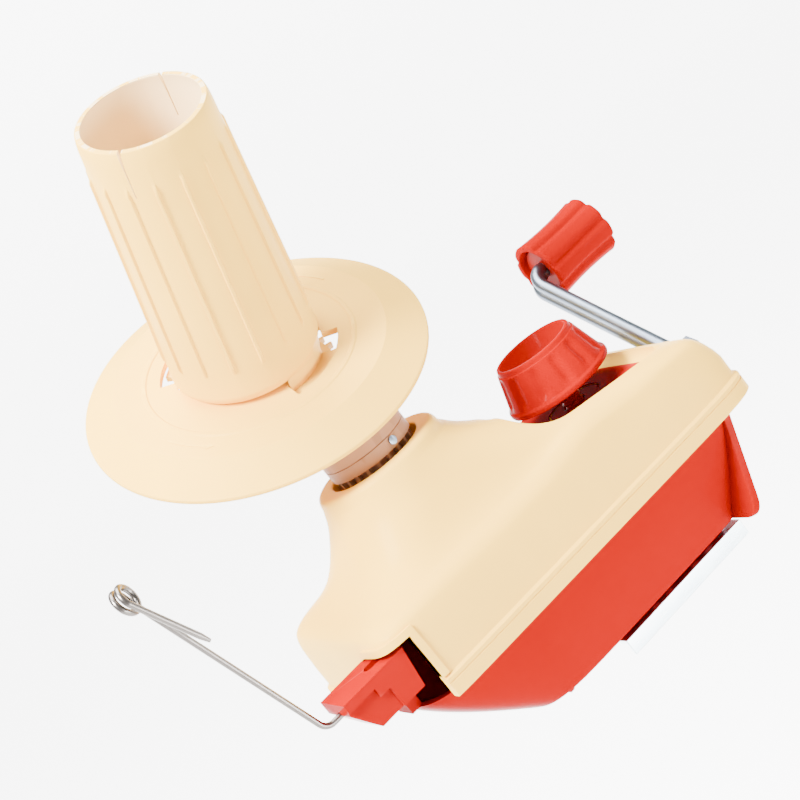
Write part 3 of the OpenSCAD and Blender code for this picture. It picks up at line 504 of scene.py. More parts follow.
def mesh_object(name, parts, matrix=Matrix()):
    """One mesh object from parts of points in millimetres and faces, with its normals outward."""
    points, faces = [], []
    count = 0
    for part_points, part_faces in parts:
        points.append(part_points)
        faces += [tuple(k + count for k in face) for face in part_faces]
        count += len(part_points)
    mesh = bpy.data.meshes.new(name)
    mesh.from_pydata((turned(np.vstack(points), matrix) * MM).tolist(), [], faces)
    shell = bmesh.new()
    shell.from_mesh(mesh)
    bmesh.ops.remove_doubles(shell, verts=shell.verts, dist=MERGE)
    bmesh.ops.recalc_face_normals(shell, faces=shell.faces)
    shell.to_mesh(mesh)
    shell.free()
    made = bpy.data.objects.new(name, mesh)
    bpy.context.scene.collection.objects.link(made)
    return made


def carve(target, *cutters, operation="DIFFERENCE"):
    """Cuts the cutters out of the target's mesh, or keeps what they share, and removes them."""
    for cutter in cutters:
        cut = target.modifiers.new("cut", "BOOLEAN")
        cut.operation = operation
        cut.solver = "EXACT"
        cut.object = cutter
    bpy.context.view_layer.update()
    carved = bpy.data.meshes.new_from_object(target.evaluated_get(bpy.context.evaluated_depsgraph_get()))
    if not carved.polygons:
        raise RuntimeError(f"nothing is left of {target.name} after its cuts")
    plain = target.data
    target.modifiers.clear()
    target.data = carved
    carved.name = target.name
    bpy.data.meshes.remove(plain)
    for cutter in cutters:
        bpy.data.objects.remove(cutter)
    return target


def settle(piece, body, finish, nodes=(), sharp=SHARP):
    """Smooth shading, finish, body and the nodes that a piece stands for."""
    mesh = piece.data
    mesh.polygons.foreach_set("use_smooth", [True] * len(mesh.polygons))
    mesh.set_sharp_from_angle(angle=math.radians(sharp))
    mesh.materials.clear()
    mesh.materials.append(finishes()[finish])
    piece.modifiers.new("shading", "WEIGHTED_NORMAL").keep_sharp = True
    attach(piece, body)
    if nodes:
        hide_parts(*nodes)


def dress(node, finish, edge=None):
    """Finish and softened edges for a node of the frame."""
    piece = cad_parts[node]
    piece.data.materials.clear()
    piece.data.materials.append(finishes()[finish])
    weld = piece.modifiers.new("weld", "WELD")
    weld.merge_threshold = MERGE
    bevel = piece.modifiers.new("edge", "BEVEL")
    bevel.width = edge or bpy.context.scene.winder_sizes.edge
    bevel.segments = 2
    bevel.limit_method = "ANGLE"
    bevel.angle_limit = math.radians(SHARP)
    piece.modifiers.new("shading", "WEIGHTED_NORMAL").keep_sharp = False


def outline_turns(per_quarter=34, crowding=2.3):
    """Turns round the box outline, crowded near its axes, where a small turn goes a long way."""
    share = np.linspace(0, 1, per_quarter, endpoint=False)
    eased = share ** crowding / (share ** crowding + (1 - share) ** crowding)
    return np.concatenate([np.pi / 2 * (quarter + eased) for quarter in range(4)])


def box_outline(turns, mid, half_l, half_w, power, crank_power=None):
    """Rounded-box outline; a higher power makes squarer corners, and the crank end may have its own."""
    power = np.where(np.cos(turns) > 0, crank_power or power, power)

    def bent(wave):
        return np.sign(wave) * np.abs(wave) ** (2 / power)
    return np.c_[mid + half_l * bent(np.cos(turns)), half_w * bent(np.sin(turns))]


def cover_ring(share, z, grow, radius):
    """Ring of the cover, a share of the way from its box to the neck's circle."""
    turns = outline_turns()
    box = box_outline(turns, COVER_MID, COVER_HALF_L + grow, COVER_HALF_W + grow, COVER_POWER)
    circle = radius * np.c_[np.cos(turns), np.sin(turns)]
    plan = (1 - share) * box + share * circle
    fall = DECK_FALL * (1 - share) * min(share / FLARE[1][0], 1)
    return np.c_[plan, z - fall * (plan[:, 0] - COVER_MID) + deck_swell(plan, share)]


def deck_swell(plan, share):
    """Slope of the deck beside the knob's pocket, from the neck down to the crank end."""
    rise_over, gone_by, fade_over = 0.08, 0.6, 0.35
    where = ease(share / rise_over) * ease((gone_by - share) / fade_over)
    beside = ease((plan[:, 0] - SWELL_FROM) / SWELL_OVER)
    slope = DECK_SWELL - DECK_SLOPE * (plan[:, 0] - SWELL_MID)
    return where * beside * np.clip(slope, SWELL_LEAST, SWELL_MOST)


def cover_solid(inset):
    """Points and faces of the cover's skin from the seam up, or of a plainer form set in or out from it."""
    top, groove = SEAM_Z + BAND_H, BAND_PROUD - 0.25
    mouth_low = SHOULDER_Z - 3 * WALL
    rim = [(SEAM_Z, 0.7), (SEAM_Z + 0.5, BAND_PROUD), (top - 2.1, BAND_PROUD), (top - 1.9, groove),
           (top - 1.6, groove), (top - 1.4, BAND_PROUD), (top - 0.3, BAND_PROUD), (top, BAND_PROUD - 0.3),
           (top + 0.5, 0.15), (top + 0.9, 0.0)]
    mouth = [(NECK_R, SHOULDER_Z, 0), (NECK_R - 0.8, MOUTH_Z, 2.4), (MOUTH_R, MOUTH_Z, 0.8),
             (MOUTH_R, mouth_low, 0), (0, mouth_low, 0)]
    if inset:
        rim = [(SEAM_Z - 1, -inset)]
    rows = [cover_ring(0, z, grow, NECK_R) for z, grow in rim]
    for share, z in smooth_path(FLARE, 5):
        rows.append(cover_ring(min(share, 1), z - inset, -inset, NECK_R - inset))
    if not inset:
        for radius, z in rounded(mouth, 8)[1:]:
            rows.append(cover_ring(1, z, 0, radius))
    return skin(rows)


def pocket_outline(grow):
    """Plan of the pocket, open to the far side."""
    far = 2 * COVER_HALF_W
    left, right, near = POCKET_LEFT - grow, POCKET_RIGHT + grow, POCKET_NEAR - grow
    radius = POCKET_R + grow
    return rounded([(right, far, 0), (left, far, 0), (left, near, radius), (right, near, radius)], 16)


def pocket_cutter(deck):
    """Pocket round the clamp knob, with a rounded floor and a lip that follows the deck."""
    floor_r, lip_r, over_out, over_up = 4.0, 2.6, 0.8, 1.2
    rows = []
    for angle in np.radians(np.linspace(0, 90, 6)):
        plan = pocket_outline(-floor_r * (1 - math.sin(angle)))
        rows.append(np.c_[plan, np.full(len(plan), POCKET_Z + floor_r * (1 - math.cos(angle)))])
    tops = np.array([deck_height(deck, point) for point in pocket_outline(lip_r)])
    for angle in np.radians(np.linspace(0, 80, 7)):
        plan = pocket_outline(lip_r * (1 - math.cos(angle)))
        heights = np.maximum(tops - lip_r * (1 - math.sin(angle)), POCKET_Z + floor_r)
        rows.append(np.c_[plan, heights])
    plan = pocket_outline(lip_r + over_out)
    rows.append(np.c_[plan, np.maximum(tops + over_up, POCKET_Z + floor_r)])
    rows.append(np.c_[plan, np.full(len(plan), 2 * DECK_Z)])
    return mesh_object("pocket_cutter", [skin(rows)])


def deck_height(deck, point):
    """Height of the deck over a point of the plan in millimetres, and a low one past the cover's edge."""
    edge_drop = 12.0
    hit = deck.ray_cast(Vector((point[0] * MM, point[1] * MM, 3 * DECK_Z * MM)), Vector((0, 0, -1)))[0]
    return hit.z / MM if hit else DECK_Z - edge_drop


def notch_block(name, grow, low):
    """Block through the opening at the near corner of the guide end, under an arched top."""
    near, edge = -2 * COVER_HALF_W, NOTCH_Y + grow
    arch = [(NOTCH_Y - away, z + grow, radius) for away, z, radius in NOTCH_ARCH]
    outline = rounded([(edge, low, 0), (edge, NOTCH_SIDE_Z, 5), *arch, (near, NOTCH_END_Z + grow, 0),
                       (near, low, 0)], 8)
    points = [[np.array([x, y, z]) for y, z in outline] for x in (2 * NOTCH_X, NOTCH_X + grow)]
    return mesh_object(name, [skin(points)])


def notch_frame():
    """Raised lip round the notch, which follows the cover's skin."""
    lip_w, lip_h, above_band = 2.4, 0.9, 1.0
    lip = mesh_object("cover_notch_lip", [cover_solid(-lip_h)])
    carve(lip, notch_block("lip_block", lip_w, SEAM_Z + BAND_H + above_band), operation="INTERSECT")
    inside = mesh_object("lip_inside", [cover_solid(WALL)])
    return carve(lip, notch_block("lip_opening", 0, NOTCH_LOW), inside)


def pocket_painted_reflection():
    """Red sheet on the pocket floor: painted reflection and shade, the red that the knob and base throw into
    the pocket.
    """
    far = COVER_HALF_W + 2.0
    rows = []
    for inset, rise in ((3.0, -0.4), (3.0, 0.2), (3.2, 0.4), (5.0, 0.4), (8.0, 0.4)):
        plan = pocket_outline(-inset)
        plan[:, 1] = np.minimum(plan[:, 1], far - inset)
        rows.append(np.c_[plan, np.full(len(plan), POCKET_Z + rise)])
    return mesh_object("pocket_reflection_sheet", [skin(rows)])


def clamp_hole(name, radius, low, high, steps):
    """Cutter for a round hole on the clamp screw's line."""
    corners = [(x * radius, y * radius, radius) for x, y in ((-1, -1), (1, -1), (1, 1), (-1, 1))]
    return mesh_object(name, [prism(rounded(corners, steps), low, high)], AT_CLAMP)


class WINDER_OT_cover(Operator):
    """Build the cream cover with its rim band, deck pocket and flared neck"""

    bl_idname = "winder.cover"
    bl_label = "Cover"

    def execute(self, context):
        cover = mesh_object("cover_shell", [cover_solid(0)])
        deck = BVHTree.FromObject(cover, context.evaluated_depsgraph_get())
        inside = mesh_object("cover_inside", [cover_solid(WALL)])
        # The hollow stays clear of the pocket, so that the pocket keeps a wall
        walled = prism(pocket_outline(3 * WALL), POCKET_Z - WALL, 2 * DECK_Z)
        carve(inside, mesh_object("pocket_skin", [walled]))
        bush = (BUSH_HOLE_R, BUSH_HOLE_LOW, BUSH_HOLE_HIGH, 12)
        hole = clamp_hole("bush_hole", *bush)
        carve(cover, pocket_cutter(deck), inside, notch_block("notch", 0, NOTCH_LOW), hole)
        settle(cover, "housing", "cream_plastic", ("cover",), sharp=32.0)
        settle(notch_frame(), "housing", "cream_plastic", sharp=32.0)
        # A red sheet on the pocket floor, painted reflection and shade from the red parts round it
        reflection_sheet = carve(pocket_painted_reflection(), clamp_hole("reflection_sheet_hole", *bush))
        settle(reflection_sheet, "housing", "red_plastic")
        return {"FINISHED"}


def base_ring(share, z, inset):
    """Ring of the base, a share of the way from its rim to its foot."""
    turns = outline_turns()
    rim = box_outline(turns, (BASE_RIGHT - COVER_LEFT + BASE_INSET_X) / 2,
                      (BASE_RIGHT + COVER_LEFT - BASE_INSET_X) / 2 - inset,
                      COVER_HALF_W - BASE_INSET_Y - inset, RIM_POWER, CRANK_END_POWER)
    foot = box_outline(turns, (FOOT_RIGHT + FOOT_LEFT) / 2, (FOOT_RIGHT - FOOT_LEFT) / 2 - inset,
                       FOOT_HALF_W - inset, FOOT_POWER, CRANK_END_POWER)
    plan = (1 - share) * rim + share * foot
    return np.c_[plan, np.full(len(plan), z)]


def base_tub():
    """Tub under the seam, outside and inside, with a rounded foot."""
    low, high = GRIP_RIB_H, SEAM_Z
    steps = np.linspace(0, 1, 25)
    foot_edge = ((0.985, 0.5, 0.0), (1.0, 0.1, 0.5), (1.0, 0.0, 1.4))
    inner = [base_ring(s ** BASE_SWEEP, high + (low + WALL - high) * s, WALL) for s in steps]
    outer = [base_ring(s ** BASE_SWEEP, high + (low - high) * s, 0) for s in steps[:-1]]
    outer += [base_ring(share, low + rise, inset) for share, rise, inset in foot_edge]
    return skin(inner[::-1] + outer)


def end_plate():
    """Sloped plate with rounded lower corners at the crank end of the base."""
    slope = math.atan((BASE_RIGHT - FOOT_RIGHT) / (SEAM_Z - GRIP_RIB_H))
    height = (SEAM_Z - GRIP_RIB_H) / math.cos(slope) - 0.5
    half_w, thick, corner, soft = COVER_HALF_W - 2, 3.0, 7.0, 0.6
    rows = []
    for inset, depth in ((soft, 0), (soft * 0.3, soft * 0.3), (0, soft), (0, thick - soft),
                         (soft * 0.3, thick - soft * 0.3), (soft, thick)):
        side, low = half_w - inset, height - inset
        outline = rounded([(-side, 0, 0), (side, 0, 0), (side, low, corner), (-side, low, corner)], 10)
        rows.append([[depth, y, -z] for y, z in outline])
    points, faces = skin(rows)
    place = Matrix.Translation((BASE_RIGHT - thick / math.cos(slope), 0, SEAM_Z))
    return turned(points, place @ Matrix.Rotation(slope, 4, "Y")), faces


def grip_ribs():
    """Ribs under the base that bite on the table, left out round the screw and the bosses."""
    ribs = []
    boss_clear, screw_clear = 5.5, 8.5
    root, tip, sunk, soft = 2.2, 0.8, GRIP_RIB_H + 0.3, 0.4
    ends = (-FOOT_HALF_W + 4, FOOT_HALF_W - 4)
    for x in np.arange(FOOT_LEFT + 10, FOOT_RIGHT - 12, GRIP_RIB_PITCH):
        if abs(x - SCREW_X) < screw_clear or min(abs(x - boss) for boss in BOSSES_X) < boss_clear:
            continue
        outline = rounded([(x - root, sunk, 0), (x - tip, 0, soft), (x + tip, 0, soft),
                           (x + root, sunk, 0)], 4)
        ribs.append(skin([[[px, y, pz] for px, pz in outline] for y in ends]))
    return ribs


class WINDER_OT_base(Operator):
    """Build the red tub with its end plate, holes and gripping ribs"""

    bl_idname = "winder.base"
    bl_label = "Base"

    def execute(self, context):
        tub = mesh_object("base_tub", [base_tub()])
        low, sleeve_top, tongue_top = -2, 14, 12
        sleeve = clamp_hole("sleeve_hole", SLEEVE_HOLE_R, low, sleeve_top, 10)
        (left, right), (near, far) = TONGUE_X, TONGUE_Y
        tongue = prism([(left, near), (right, near), (right, far), (left, far)], low, tongue_top)
        carve(tub, sleeve, mesh_object("tongue_slot", [tongue]))
        settle(tub, "housing", "red_plastic", ("base",), sharp=35.0)
        plate = mesh_object("base_end_plate", [end_plate()])
        settle(plate, "housing", "red_plastic")
        ribs = mesh_object("base_grip_ribs", grip_ribs())
        settle(ribs, "housing", "red_plastic")
        dress("housing_screws", "zinc_plate")
        return {"FINISHED"}


def wire_path():
    """Middle line of the guide wire: leg, bend, arm, eye and tail."""
    start = np.array([GUIDE_LEFT - WIRE_OUT, WIRE_Y, WIRE_Z])
    turn = math.radians(90 - WIRE_LEAN)
    leg = [start + np.array([x, 0, 0]) for x in (18.0, 12.0, 6.0, 3.0)]
    bend = [start + WIRE_BEND_R * np.array([-math.sin(a), 0, 1 - math.cos(a)])
            for a in np.linspace(0, turn, 14)]
    along = np.array([-math.cos(turn), 0, math.sin(turn)])
    axis = np.array([math.sin(math.radians(EYE_TURN)), math.cos(math.radians(EYE_TURN)), 0])
    axis = axis - along * (axis @ along)
    axis = axis / np.linalg.norm(axis)
    side = np.cross(axis, along)
    top = bend[-1] + WIRE_LEN * along
    arm = [bend[-1] + WIRE_LEN * s * along for s in np.linspace(0, 1, 14)[1:]]
    centre = top + EYE_R * side
    coil = [centre + EYE_R * (math.sin(a) * along - math.cos(a) * side) + EYE_PITCH * a / (2 * np.pi) * axis
            for a in np.linspace(0, 3 * np.pi, 73)[1:]]
    away = -along + math.tan(math.radians(TAIL_TURN)) * axis - math.tan(math.radians(TAIL_IN)) * side
    away = away / np.linalg.norm(away)
    tail = [coil[-1] + TAIL_LEN * s * away for s in np.linspace(0, 1, 9)[1:]]
    return np.array(leg + bend + arm + coil + tail)


class WINDER_OT_guide(Operator):
    """Build the guide wire and finish its red block"""

    bl_idname = "winder.guide"
    bl_label = "Yarn guide"

    def execute(self, context):
        radius = in_mm(context.scene.winder_sizes.wire) / 2
        turns = np.linspace(0, 2 * np.pi, 16, endpoint=False)
        circle = np.c_[np.cos(turns), np.sin(turns)]
        tip, taper = 0.6, 90

        def section(share):
            return circle * radius * min(1.0, (1 - share) * taper + tip)
        wire = mesh_object("yarn_guide_wire", [skin(sweep(wire_path(), section, (0, 1, 0)))])
        settle(wire, "guide_wire", "wire_steel", ("guide_wire",))
        dress("guide_block", "red_plastic", BLOCK_EDGE)
        return {"FINISHED"}


class WINDER_OT_hub(Operator):
    """Finish the tan hub, its pin and the stub axle"""

    bl_idname = "winder.hub"
    bl_label = "Hub"

    def execute(self, context):
        dress("hub", "tan_plastic")
        dress("hub_pin", "turned_steel")
        dress("stub_axle", "turned_steel")
        dress("stub_washer", "brass", FINE_EDGE)
        dress("flange_nut", "zinc_plate")
        return {"FINISHED"}


def flange_profile():
    """Half section of the flange, with rounded edges and a fine raised ring."""
    ring_r, ring_w, ring_top = 36.6, 0.5, FACE_H + 0.35
    under = FACE_H - FLANGE_T
    return rounded([
        (STUB_HOLE_R, FLANGE_HUB_LOW, 0.3), (FLANGE_HUB_R, FLANGE_HUB_LOW, 0.4), (FLANGE_HUB_R, under, 1.5),
        (FACE_R - 1, under, 2.0), (FLANGE_R - 2.6, 0.6, 0.6), (FLANGE_R - 1.2, 0, 0.5), (FLANGE_R, 0.7, 0.6),
        (FLANGE_R, 2.0, 0.8), (FACE_R + 0.6, FACE_H, 0.7), (ring_r + 2 * ring_w, FACE_H, 0),
        (ring_r + ring_w, ring_top, 0.1), (ring_r - ring_w, ring_top, 0.1), (ring_r - 2 * ring_w, FACE_H, 0),
        (FLANGE_HUB_R, FACE_H, 1.0), (FLANGE_HUB_R, FLANGE_HUB_TOP, 0.5),
        (STUB_HOLE_R, FLANGE_HUB_TOP, 0.3)], 5)


def flange_arrow(start, end):
    """Raised arrow along the face: an arc with a head at its end."""
    radius, half_w, low, high = 42.0, 0.35, FACE_H - 0.1, FACE_H + 0.22
    barb_w, barb_back, tip = 1.5, 1.0, 2.6
    shaft = sector(radius - half_w, radius + half_w, start, end, low, high, 20)
    head = []
    for r, angle in ((radius - barb_w, end - barb_back), (radius, end + tip),
                     (radius + barb_w, end - barb_back), (radius, end)):
        head.append((r * math.cos(math.radians(angle)), r * math.sin(math.radians(angle))))
    return [shaft, prism(head, low, high)]


class WINDER_OT_flange(Operator):
    """Build the cream flange with its bayonet windows, raised ring and arrows"""

    bl_idname = "winder.flange"
    bl_label = "Flange"

    def execute(self, context):
        flange = mesh_object("flange_disc", [lathe(dense(flange_profile()), 192)], AT_BOBBIN)
        gap = 0.4
        cutters = []
        for side in (0, 180):
            first = side + BAYONET_TURN - LUG_ANGLE / 2 - LUG_PLAY
            wide = (LUG_R - gap, LUG_R + LUG_OUT + gap, first, first + LUG_ANGLE + LUG_PLAY + WINDOW_MORE)
            thin = (LUG_R - gap, LUG_R + LUG_NECK + gap, first, first + LUG_ANGLE + TWIST + 2 * LUG_PLAY)
            for k, (inner, outer, start, end) in enumerate((wide, thin)):
                block = sector(inner, outer, start, end, FACE_H - 2 * FLANGE_T, FACE_H + 2, 40)
                cutters.append(mesh_object(f"window_{side}_{k}", [block], AT_BOBBIN))
        carve(flange, *cutters)
        settle(flange, "spool", "cream_plastic", ("flange",), sharp=30.0)
        arrows = mesh_object("flange_arrows", flange_arrow(184, 206) + flange_arrow(4, 26), AT_BOBBIN)
        settle(arrows, "spool", "cream_plastic")
        dress("bobbin_gear", "nylon", FINE_EDGE)
        return {"FINISHED"}


def bobbin_rows(sizes):
    """Plain radii and heights above the foot, up the outside and down the inside."""
    slope = (BOBBIN_FOOT_R - BOBBIN_TOP_R) / BOBBIN_LEN
    lip, lip_in, mouth_h, mouth_in = 0.3, 0.9, 4.0, 0.5
    slit_low = BOBBIN_LEN - in_mm(sizes.slit_length)
    rib_high = BOBBIN_LEN - PLAIN_BAND

    def wall(z):
        drawn_in = np.clip((z - BOBBIN_LEN + mouth_h) / mouth_h, 0, 1)
        return BOBBIN_FOOT_R - BOBBIN_BACK - slope * z - mouth_in * drawn_in ** 2
    foot_in = BOBBIN_FOOT_R - FOOT_ROUND - FOOT_LIP
    outer = [(foot_in, 0.0)]
    outer += [(BOBBIN_FOOT_R - BOBBIN_BACK - FOOT_ROUND * (1 - math.sin(a)), FOOT_ROUND * (1 - math.cos(a)))
              for a in np.radians(np.linspace(0, 90, 10))]
    heights = [8.0, RIB_LOW - 1.0, RIB_LOW, RIB_LOW + 0.6, RIB_LOW + 1.4, RIB_LOW + 2.4]
    heights += list(np.linspace(RIB_LOW + 6, slit_low - 3, 14))
    top = [slit_low, slit_low + 0.4, rib_high - 2.0, rib_high - 1.2, rib_high - 0.5, rib_high + 0.3]
    top += list(np.linspace(rib_high + 3, BOBBIN_LEN - lip, 6))
    outer += [(wall(z), z) for z in heights]
    shared = [(wall(z), z) for z in top]
    shared += [(wall(BOBBIN_LEN) - lip * (1 - math.cos(a)) * lip_in, BOBBIN_LEN - lip * (1 - math.sin(a)))
               for a in np.radians((30, 60, 90))]
    thinner, edge_h = 0.35, 0.2
    inner = [(min(r, wall(z)) - BOBBIN_WALL + (thinner if z > BOBBIN_LEN - edge_h else 0), z)
             for r, z in shared]
    down = [(wall(z) - BOBBIN_WALL, z) for z in (70.0, 40.0, 12.0, FOOT_ROUND + 1)] + [(foot_in, FOOT_T)]
    return outer, shared, inner[::-1], down


def bobbin_shell(sizes):
    """Tapered tube in two halves that meet below the slits, with rounded ribs."""
    outer, shared, inner, down = bobbin_rows(sizes)
    rows = outer + shared + inner + down
    first_shared, last_shared = len(outer), len(outer) + len(shared) - 1
    slit_low = BOBBIN_LEN - in_mm(sizes.slit_length)
    half_mouth = in_mm(sizes.slit_width) / 2
    rib_half = in_mm(sizes.rib_width) / 2
    proud = in_mm(sizes.rib_proud)
    step = 360 / sizes.ribs
    # Degrees from a rib's middle where the wall has points: close together on its flanks, few between ribs
    spread = [-2.3, -1.7, -1.4, -1.15, -0.9, 0.0, 0.9, 1.15, 1.4, 1.7, 2.3, 6.5, step / 2, step - 6.5]
    around = np.sort([(k * step + offset) % 360 for k in range(sizes.ribs) for offset in spread])
    rib_high = BOBBIN_LEN - PLAIN_BAND
    foot_w, flank_w, over, run_out, rounding = 0.15, 0.32, 0.2, 2.0, 0.7
    least_gape, seam_clear = 0.2, 0.6

    def rib(angle, radius, z):
        off = (angle + step / 2) % step - step / 2
        across = ease((rib_half + foot_w - abs(np.radians(off)) * radius) / flank_w)
        ends = np.clip(min(z - RIB_LOW + over, rib_high - z + over) / run_out, 0, 1)
        return proud * across * ends ** rounding

    parts = []
    for half in (0, 180):
        start = (SLIT_TURN + half) % 360
        offsets = [(angle - start) % 360 for angle in around]
        inside = np.sort([turn for turn in offsets if seam_clear < turn < 180 - seam_clear])
        turns = np.concatenate([[0], inside, [180]])
        grid = []
        for k, (radius, z) in enumerate(rows):
            opening = max(0.0, z - slit_low) / (BOBBIN_LEN - slit_low)
            width = least_gape + (half_mouth - least_gape) * opening ** 3 if opening > 0 else 0.0
            gape = math.degrees(math.asin(width / radius))
            angles = start + gape + turns / 180 * (180 - 2 * gape)
            radii = np.full(len(turns), radius)
            if k <= last_shared:
                radii = radii + np.array([rib(start + turn, radius, z) for turn in turns])
            grid.append(np.c_[radii * np.cos(np.radians(angles)), radii * np.sin(np.radians(angles)),
                              np.full(len(turns), z + BOBBIN_LOW)])
        points, faces = skin(grid, closed=False, wrap=True)
        columns = len(turns)
        for offset in range(len(shared) - 1):
            out_low, out_high = first_shared + offset, first_shared + offset + 1
            in_high = last_shared + 1 + (len(shared) - 1 - out_high + first_shared)
            in_low = in_high + 1
            for column in (0, columns - 1):
                faces.append(tuple(row * columns + column for row in (out_low, out_high, in_high, in_low)))
        parts.append((points, faces))
    return parts


def bobbin_lugs():
    """Two lugs under the foot that turn under the flange's face."""
    low, lug_t = FACE_H - FLANGE_T - 2.4, 2.0
    lugs = []
    for side in (0, 180):
        start = side + BAYONET_TURN - LUG_ANGLE / 2
        end = start + LUG_ANGLE
        lugs.append(sector(LUG_R, LUG_R + LUG_NECK, start, end, low, BOBBIN_LOW + FOOT_T + 1))
        lugs.append(sector(LUG_R, LUG_R + LUG_OUT, start, end, low, low + lug_t))
    return lugs


class WINDER_OT_bobbin(Operator):
    """Build the cream bobbin with its ribs, slits, rounded foot and lugs"""

    bl_idname = "winder.bobbin"
    bl_label = "Bobbin"

    def execute(self, context):
        tube = mesh_object("bobbin_tube", bobbin_shell(context.scene.winder_sizes), AT_BOBBIN)
        settle(tube, "bobbin", "cream_plastic", ("bobbin",), sharp=50.0)
        # Inner faces of the tube take the paler copy of the cream, painted light inside the bobbin
        tube.data.materials.append(finishes()["cream_inside_painted_light"])
        upright = AT_BOBBIN.inverted()
        for face in tube.data.polygons:
            middle = upright @ (face.center / MM)
            facing = upright.to_3x3() @ face.normal
            if middle.xy @ facing.xy < 0:
                face.material_index = 1
        lugs = mesh_object("bobbin_lugs", bobbin_lugs(), AT_BOBBIN)
        settle(lugs, "bobbin", "cream_plastic")
        return {"FINISHED"}


def arm_section(share):
    """Two rounded lobes with a groove between, drawn in to a round post at the end."""
    radius, off = ARM_T / 2, (ARM_W - ARM_T) / 2
    meet = math.atan2(off, math.sqrt(radius ** 2 - off ** 2))
    draw_from, draw_over = 0.74, 0.16
    upper = [(off + radius * math.sin(a), radius * math.cos(a)) for a in np.linspace(-meet, np.pi + meet, 20)]
    lower = [(-x, -y) for x, y in upper]
    lobes = np.array(upper + lower)
    angles = np.arctan2(lobes[:, 1], lobes[:, 0])
    post = POST_D / 2 * np.c_[np.cos(angles), np.sin(angles)]
    drawn = ease((share - draw_from) / draw_over)
    return (1 - drawn) * lobes + drawn * post


def arm_path():
    """Middle line of the arm in the crank's frame: up from the shaft, round the bend, into the grip."""
    straight = [(ARM_MID, 0, z) for z in np.linspace(2.0, CRANK_REACH - BEND_R, 24)]
    bend = [(ARM_MID + BEND_R * (1 - math.cos(a)), 0, CRANK_REACH - BEND_R + BEND_R * math.sin(a))
            for a in np.linspace(0, np.pi / 2, 16)[1:]]
    post = [(x, 0, CRANK_REACH) for x in np.linspace(ARM_MID + BEND_R, GRIP_X + GRIP_LEN - 3, 8)[1:]]
    return np.array(straight + bend + post)


def arm_eye():
    """Flat boss of the arm round the shaft."""
    radius, bore = ARM_W / 2 + 1, SHAFT_D / 2
    profile = rounded([(bore, 0, 0.2), (radius, 0, 0.6), (radius, ARM_T, 0.6), (bore, ARM_T, 0.2)], 5)
    points, faces = lathe(profile, 64)
    place = Matrix.Translation((ARM_X, 0, 0)) @ Matrix.Rotation(math.radians(90), 4, "Y")
    return turned(points, place), faces


def grip_body(lobes):
    """Lobed grip, slightly waisted, with a round recess at the arm's end."""
    radius, recess_r, recess = GRIP_D / 2, GRIP_D / 2 - 3.0, 5.0
    soft, waist, flute_depth, flute_end = 1.4, 0.7, 1.5, 0.6
    bore, bore_end = POST_D / 2 + 0.2, GRIP_LEN - 2.4
    # Radius, height and share of the flutes' depth, from the far end round to the bore
    rows = [(0.0, GRIP_LEN, 0.0)]

    def edge(angle, end, rounding, inward):
        sunk = rounding * (1 - math.cos(angle))
        share = flute_end + (1 - flute_end) * math.sin(angle)
        return radius - rounding * (1 - math.sin(angle)), end + inward * sunk, share
    rows += [edge(a, GRIP_LEN, soft, -1) for a in np.radians(np.linspace(0, 90, 6))]
    for z in np.linspace(GRIP_LEN - soft - 2, soft + 1, 12):
        rows.append((radius - waist * math.sin(np.pi * z / GRIP_LEN), z, 1.0))
    rows += [edge(a, 0.0, 0.7 * soft, 1) for a in np.radians(np.linspace(90, 0, 6))]
    rows += [(recess_r + 0.5, 0.0, 0.0), (recess_r, 0.6, 0.0), (recess_r - 0.2, recess - 0.8, 0.0),
             (recess_r - 1.0, recess, 0.0), (bore, recess, 0.0), (bore, bore_end, 0.0), (0.0, bore_end, 0.0)]
    turns = np.linspace(0, 2 * np.pi, 24 * lobes, endpoint=False)
    flute = flute_depth * (0.5 - 0.5 * np.cos(lobes * turns)) ** 4
    rings = []
    for r, z, cut in rows:
        radii = r - flute * cut * (1 if r else 0)
        rings.append(np.c_[radii * np.cos(turns), radii * np.sin(turns), np.full(len(turns), z)])
    return skin(rings, caps=False)


class WINDER_OT_crank(Operator):
    """Build the grooved crank arm and the lobed grip, and finish the shaft"""

    bl_idname = "winder.crank"
    bl_label = "Crank"

    def execute(self, context):
        bar = skin(sweep(arm_path(), arm_section, (0, 1, 0)))
        arm = mesh_object("crank_bar", [bar, arm_eye()], AT_CRANK)
        settle(arm, "crank", "zinc_plate", ("crank_arm", "grip_post"), sharp=45.0)
        lobes = context.scene.winder_sizes.grip_lobes
        half_lobe = Matrix.Rotation(math.radians(180 / lobes), 4, "Z")
        place = AT_GRIP @ Matrix.Translation((0, 0, GRIP_X)) @ half_lobe
        grip = mesh_object("crank_handle", [grip_body(lobes)], place)
        settle(grip, "grip", "red_plastic", ("crank_grip",), sharp=40.0)
        for node in ("crank_shaft", "drive_pin"):
            dress(node, "turned_steel")
        dress("arm_nut", "zinc_plate")
        # The grip cap takes the darker copy of the red, painted shade
        dress("grip_cap", "red_plastic_painted_shade")
        dress("drive_gear", "nylon", FINE_EDGE)
        dress("crank_bush", "nylon")
        return {"FINISHED"}


